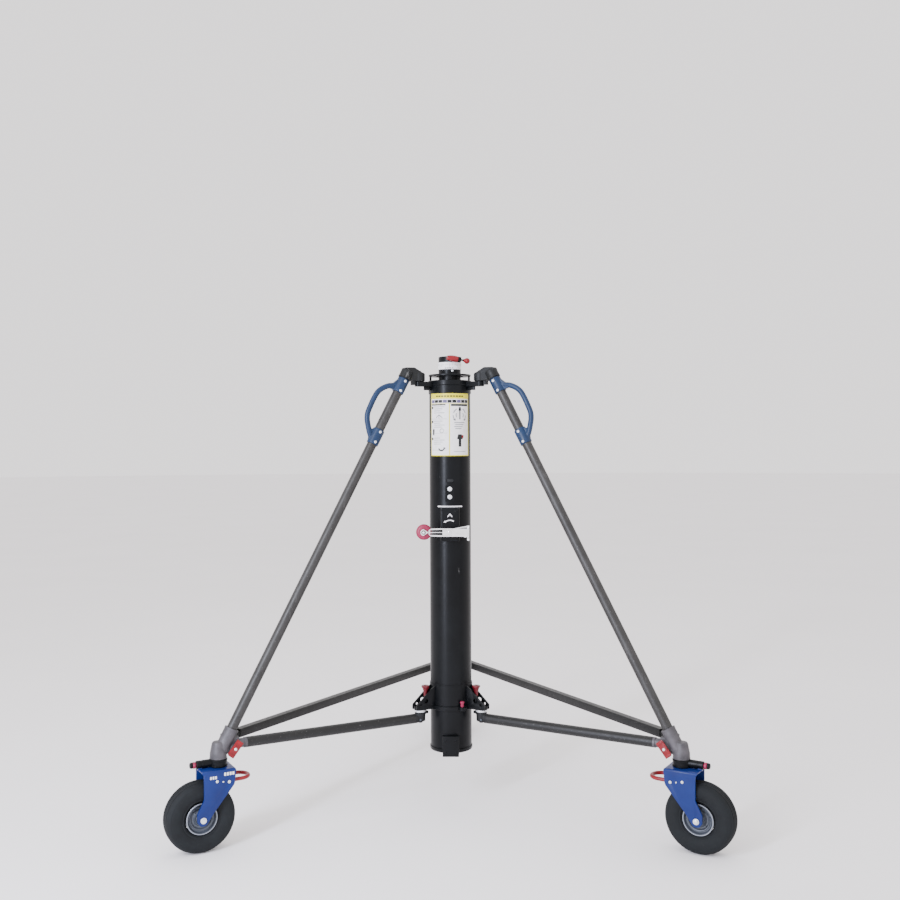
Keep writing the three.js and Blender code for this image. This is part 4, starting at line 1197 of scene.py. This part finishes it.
def tyre_mesh():
    """Pneumatic tyre: ribbed tread, round shoulders, bead lines on the side walls."""
    half = [(57, 27), (60, 31.6), (63.6, 33.4), (65.5, 35.9), (67.4, 36.1), (69.3, 35.7), (75, 38.8),
            (82.5, 41), (92, 42), (101.4, 41.7), (109, 40.1), (110.3, 39.3), (111.4, 39.5),
            (112.8, 38.9), (118, 35), (121.8, 29.6), (124.3, 24), (124.7, 22.6), (121.7, 21.6),
            (121.8, 19.8), (125.2, 18.8), (125.8, 12), (123, 11.2), (123, 9.6), (125.9, 8.8), (126, 3),
            (123.2, 2.2)]
    tyre = wheel_round(half, 144)
    pressed = -124.6  # the tread is a little flat where it stands on the floor
    for v in tyre.verts:
        if v.co.z < pressed:
            v.co.z = pressed + (v.co.z - pressed) * 0.15
    return to_mesh(moved(tyre, TRAIL, 0, AXLE_Z), "wheel_rubber", 40)


def tie_mesh(length):
    h, start, w = 16, 26, 16 - TUBE_WALL
    tube = carved(plate(rounded(rectangle(-h, h, -h, h), 4, 5), start, length - start),
            plate(rounded(rectangle(-w, w, -w, w), 2, 3), start - 5, length - start + 5))
    tube.transform(ZXY)
    eyes = [bevel(turned(plate(strip(-56, 14, 14), -8, 8), 180 * (1 - end)), 1.2, 2) for end in (0, 1)]
    moved(eyes[1], length)
    return to_mesh(merged(tube, *eyes), "brace_paint")


def tie_pin(side, tie_side):
    """Where a tie's pin stands on a foot, in the row's frame."""
    local = Vector((STEM_R - TIE_PIN * math.cos(PI / 6), tie_side * TIE_PIN * 0.5, TIE_Z))
    return Matrix.Rotation(math.radians(LEGS[side]), 3, "Z") @ local


def leg_frames():
    """The three legs and casters share their meshes, except for the feet and latches."""
    on_leg_frame = {
        "hinge_casting": (hinge_arm_mesh(), "hinge_arm"),
        "leg": (leg_tube_mesh(), "leg_tube"),
        "handle": (handle_mesh(), "carry_handle"),
        "handle_bolts": (handle_bolts_mesh(), None),
        "brace": (brace_mesh(), "lower_brace"),
        "knuckle": (knuckle_mesh(), "brace_knuckle"),
        "knuckle_screws": (knuckle_screw_mesh(), None, "bright_steel"),
    }
    pull_knob = pull_knob_mesh()
    own = {}
    for side, tie_sides, near in (("left", [-1], 1), ("right", [1], -1), ("rear", [-1, 1], 1)):
        own[side] = (foot_mesh(side, tie_sides, near), latch_mesh(side, near), latch_bolt_mesh(side, near))
    on_stem = {
        "swivel_housing": (swivel_housing_mesh(), "swivel_lock", None),
        "lock_tip": (lock_tip_mesh(), None, None),
        "fork": (fork_mesh(), "caster_fork", "caster"),
        "fork_bolts": (fork_bolts_mesh(), None, "caster"),
        "brake": (brake_mesh(), "brake_loop", "brake"),
        "axle_bolt": (axle_mesh(), "axle", "caster"),
        "rim": (rim_mesh(), "wheel_rim", "wheel"),
        "rim_lip": (rim_lip_mesh(), None, "wheel"),
        "wheel_tyre": (tyre_mesh(), "tyre", "wheel"),
    }
    for side in LEGS:
        place, body = leg_place(side), frame_of(side)
        for name, (mesh, node, *slot) in on_leg_frame.items():
            piece(f"{side}_{name}", mesh, body, node and f"{side}_{node}", *slot, place=place)
        foot, latch, latch_bolt = own[side]
        piece(f"{side}_foot", foot, body, f"{side}_foot_casting", place=place)
        piece(f"{side}_knob", pull_knob, f"{side}_lock_knob", f"{side}_pull_knob", place=place)
        piece(f"{side}_latch_plate", latch, f"{side}_latch", f"{side}_foot_latch", place=place)
        piece(f"{side}_latch_bolt", latch_bolt, f"{side}_latch", place=place)
        for name, (mesh, node, rider) in on_stem.items():
            rider = f"{side}_{rider}" if rider else body
            piece(f"{side}_{name}", mesh, rider, node and f"{side}_{node}", place=caster_place(side))


def left_fork_marks():
    piece("left_cheek_bars", cheek_bars_mesh(), "left_caster", place=caster_place("left"))


def ties():
    for side, front_side, rear_side in (("left", -1, 1), ("right", 1, -1)):
        start, end = tie_pin(side, front_side), tie_pin("rear", rear_side)
        along = end - start
        place = Matrix.Translation(start * MM) @ Matrix.Rotation(math.atan2(along.y, along.x), 4, "Z")
        piece(f"{side}_tie_tube", tie_mesh(along.length), f"{side}_tie_bar", f"{side}_tie", place=place)


for make in (
    outer_column, column_marks, winch_cover, bottom_cap, instruction_label, upper_collar, lower_collar,
    ring_plunger, guide_ring, crank, mast, receiver, clamp, leg_frames, left_fork_marks, ties,
):
    make()
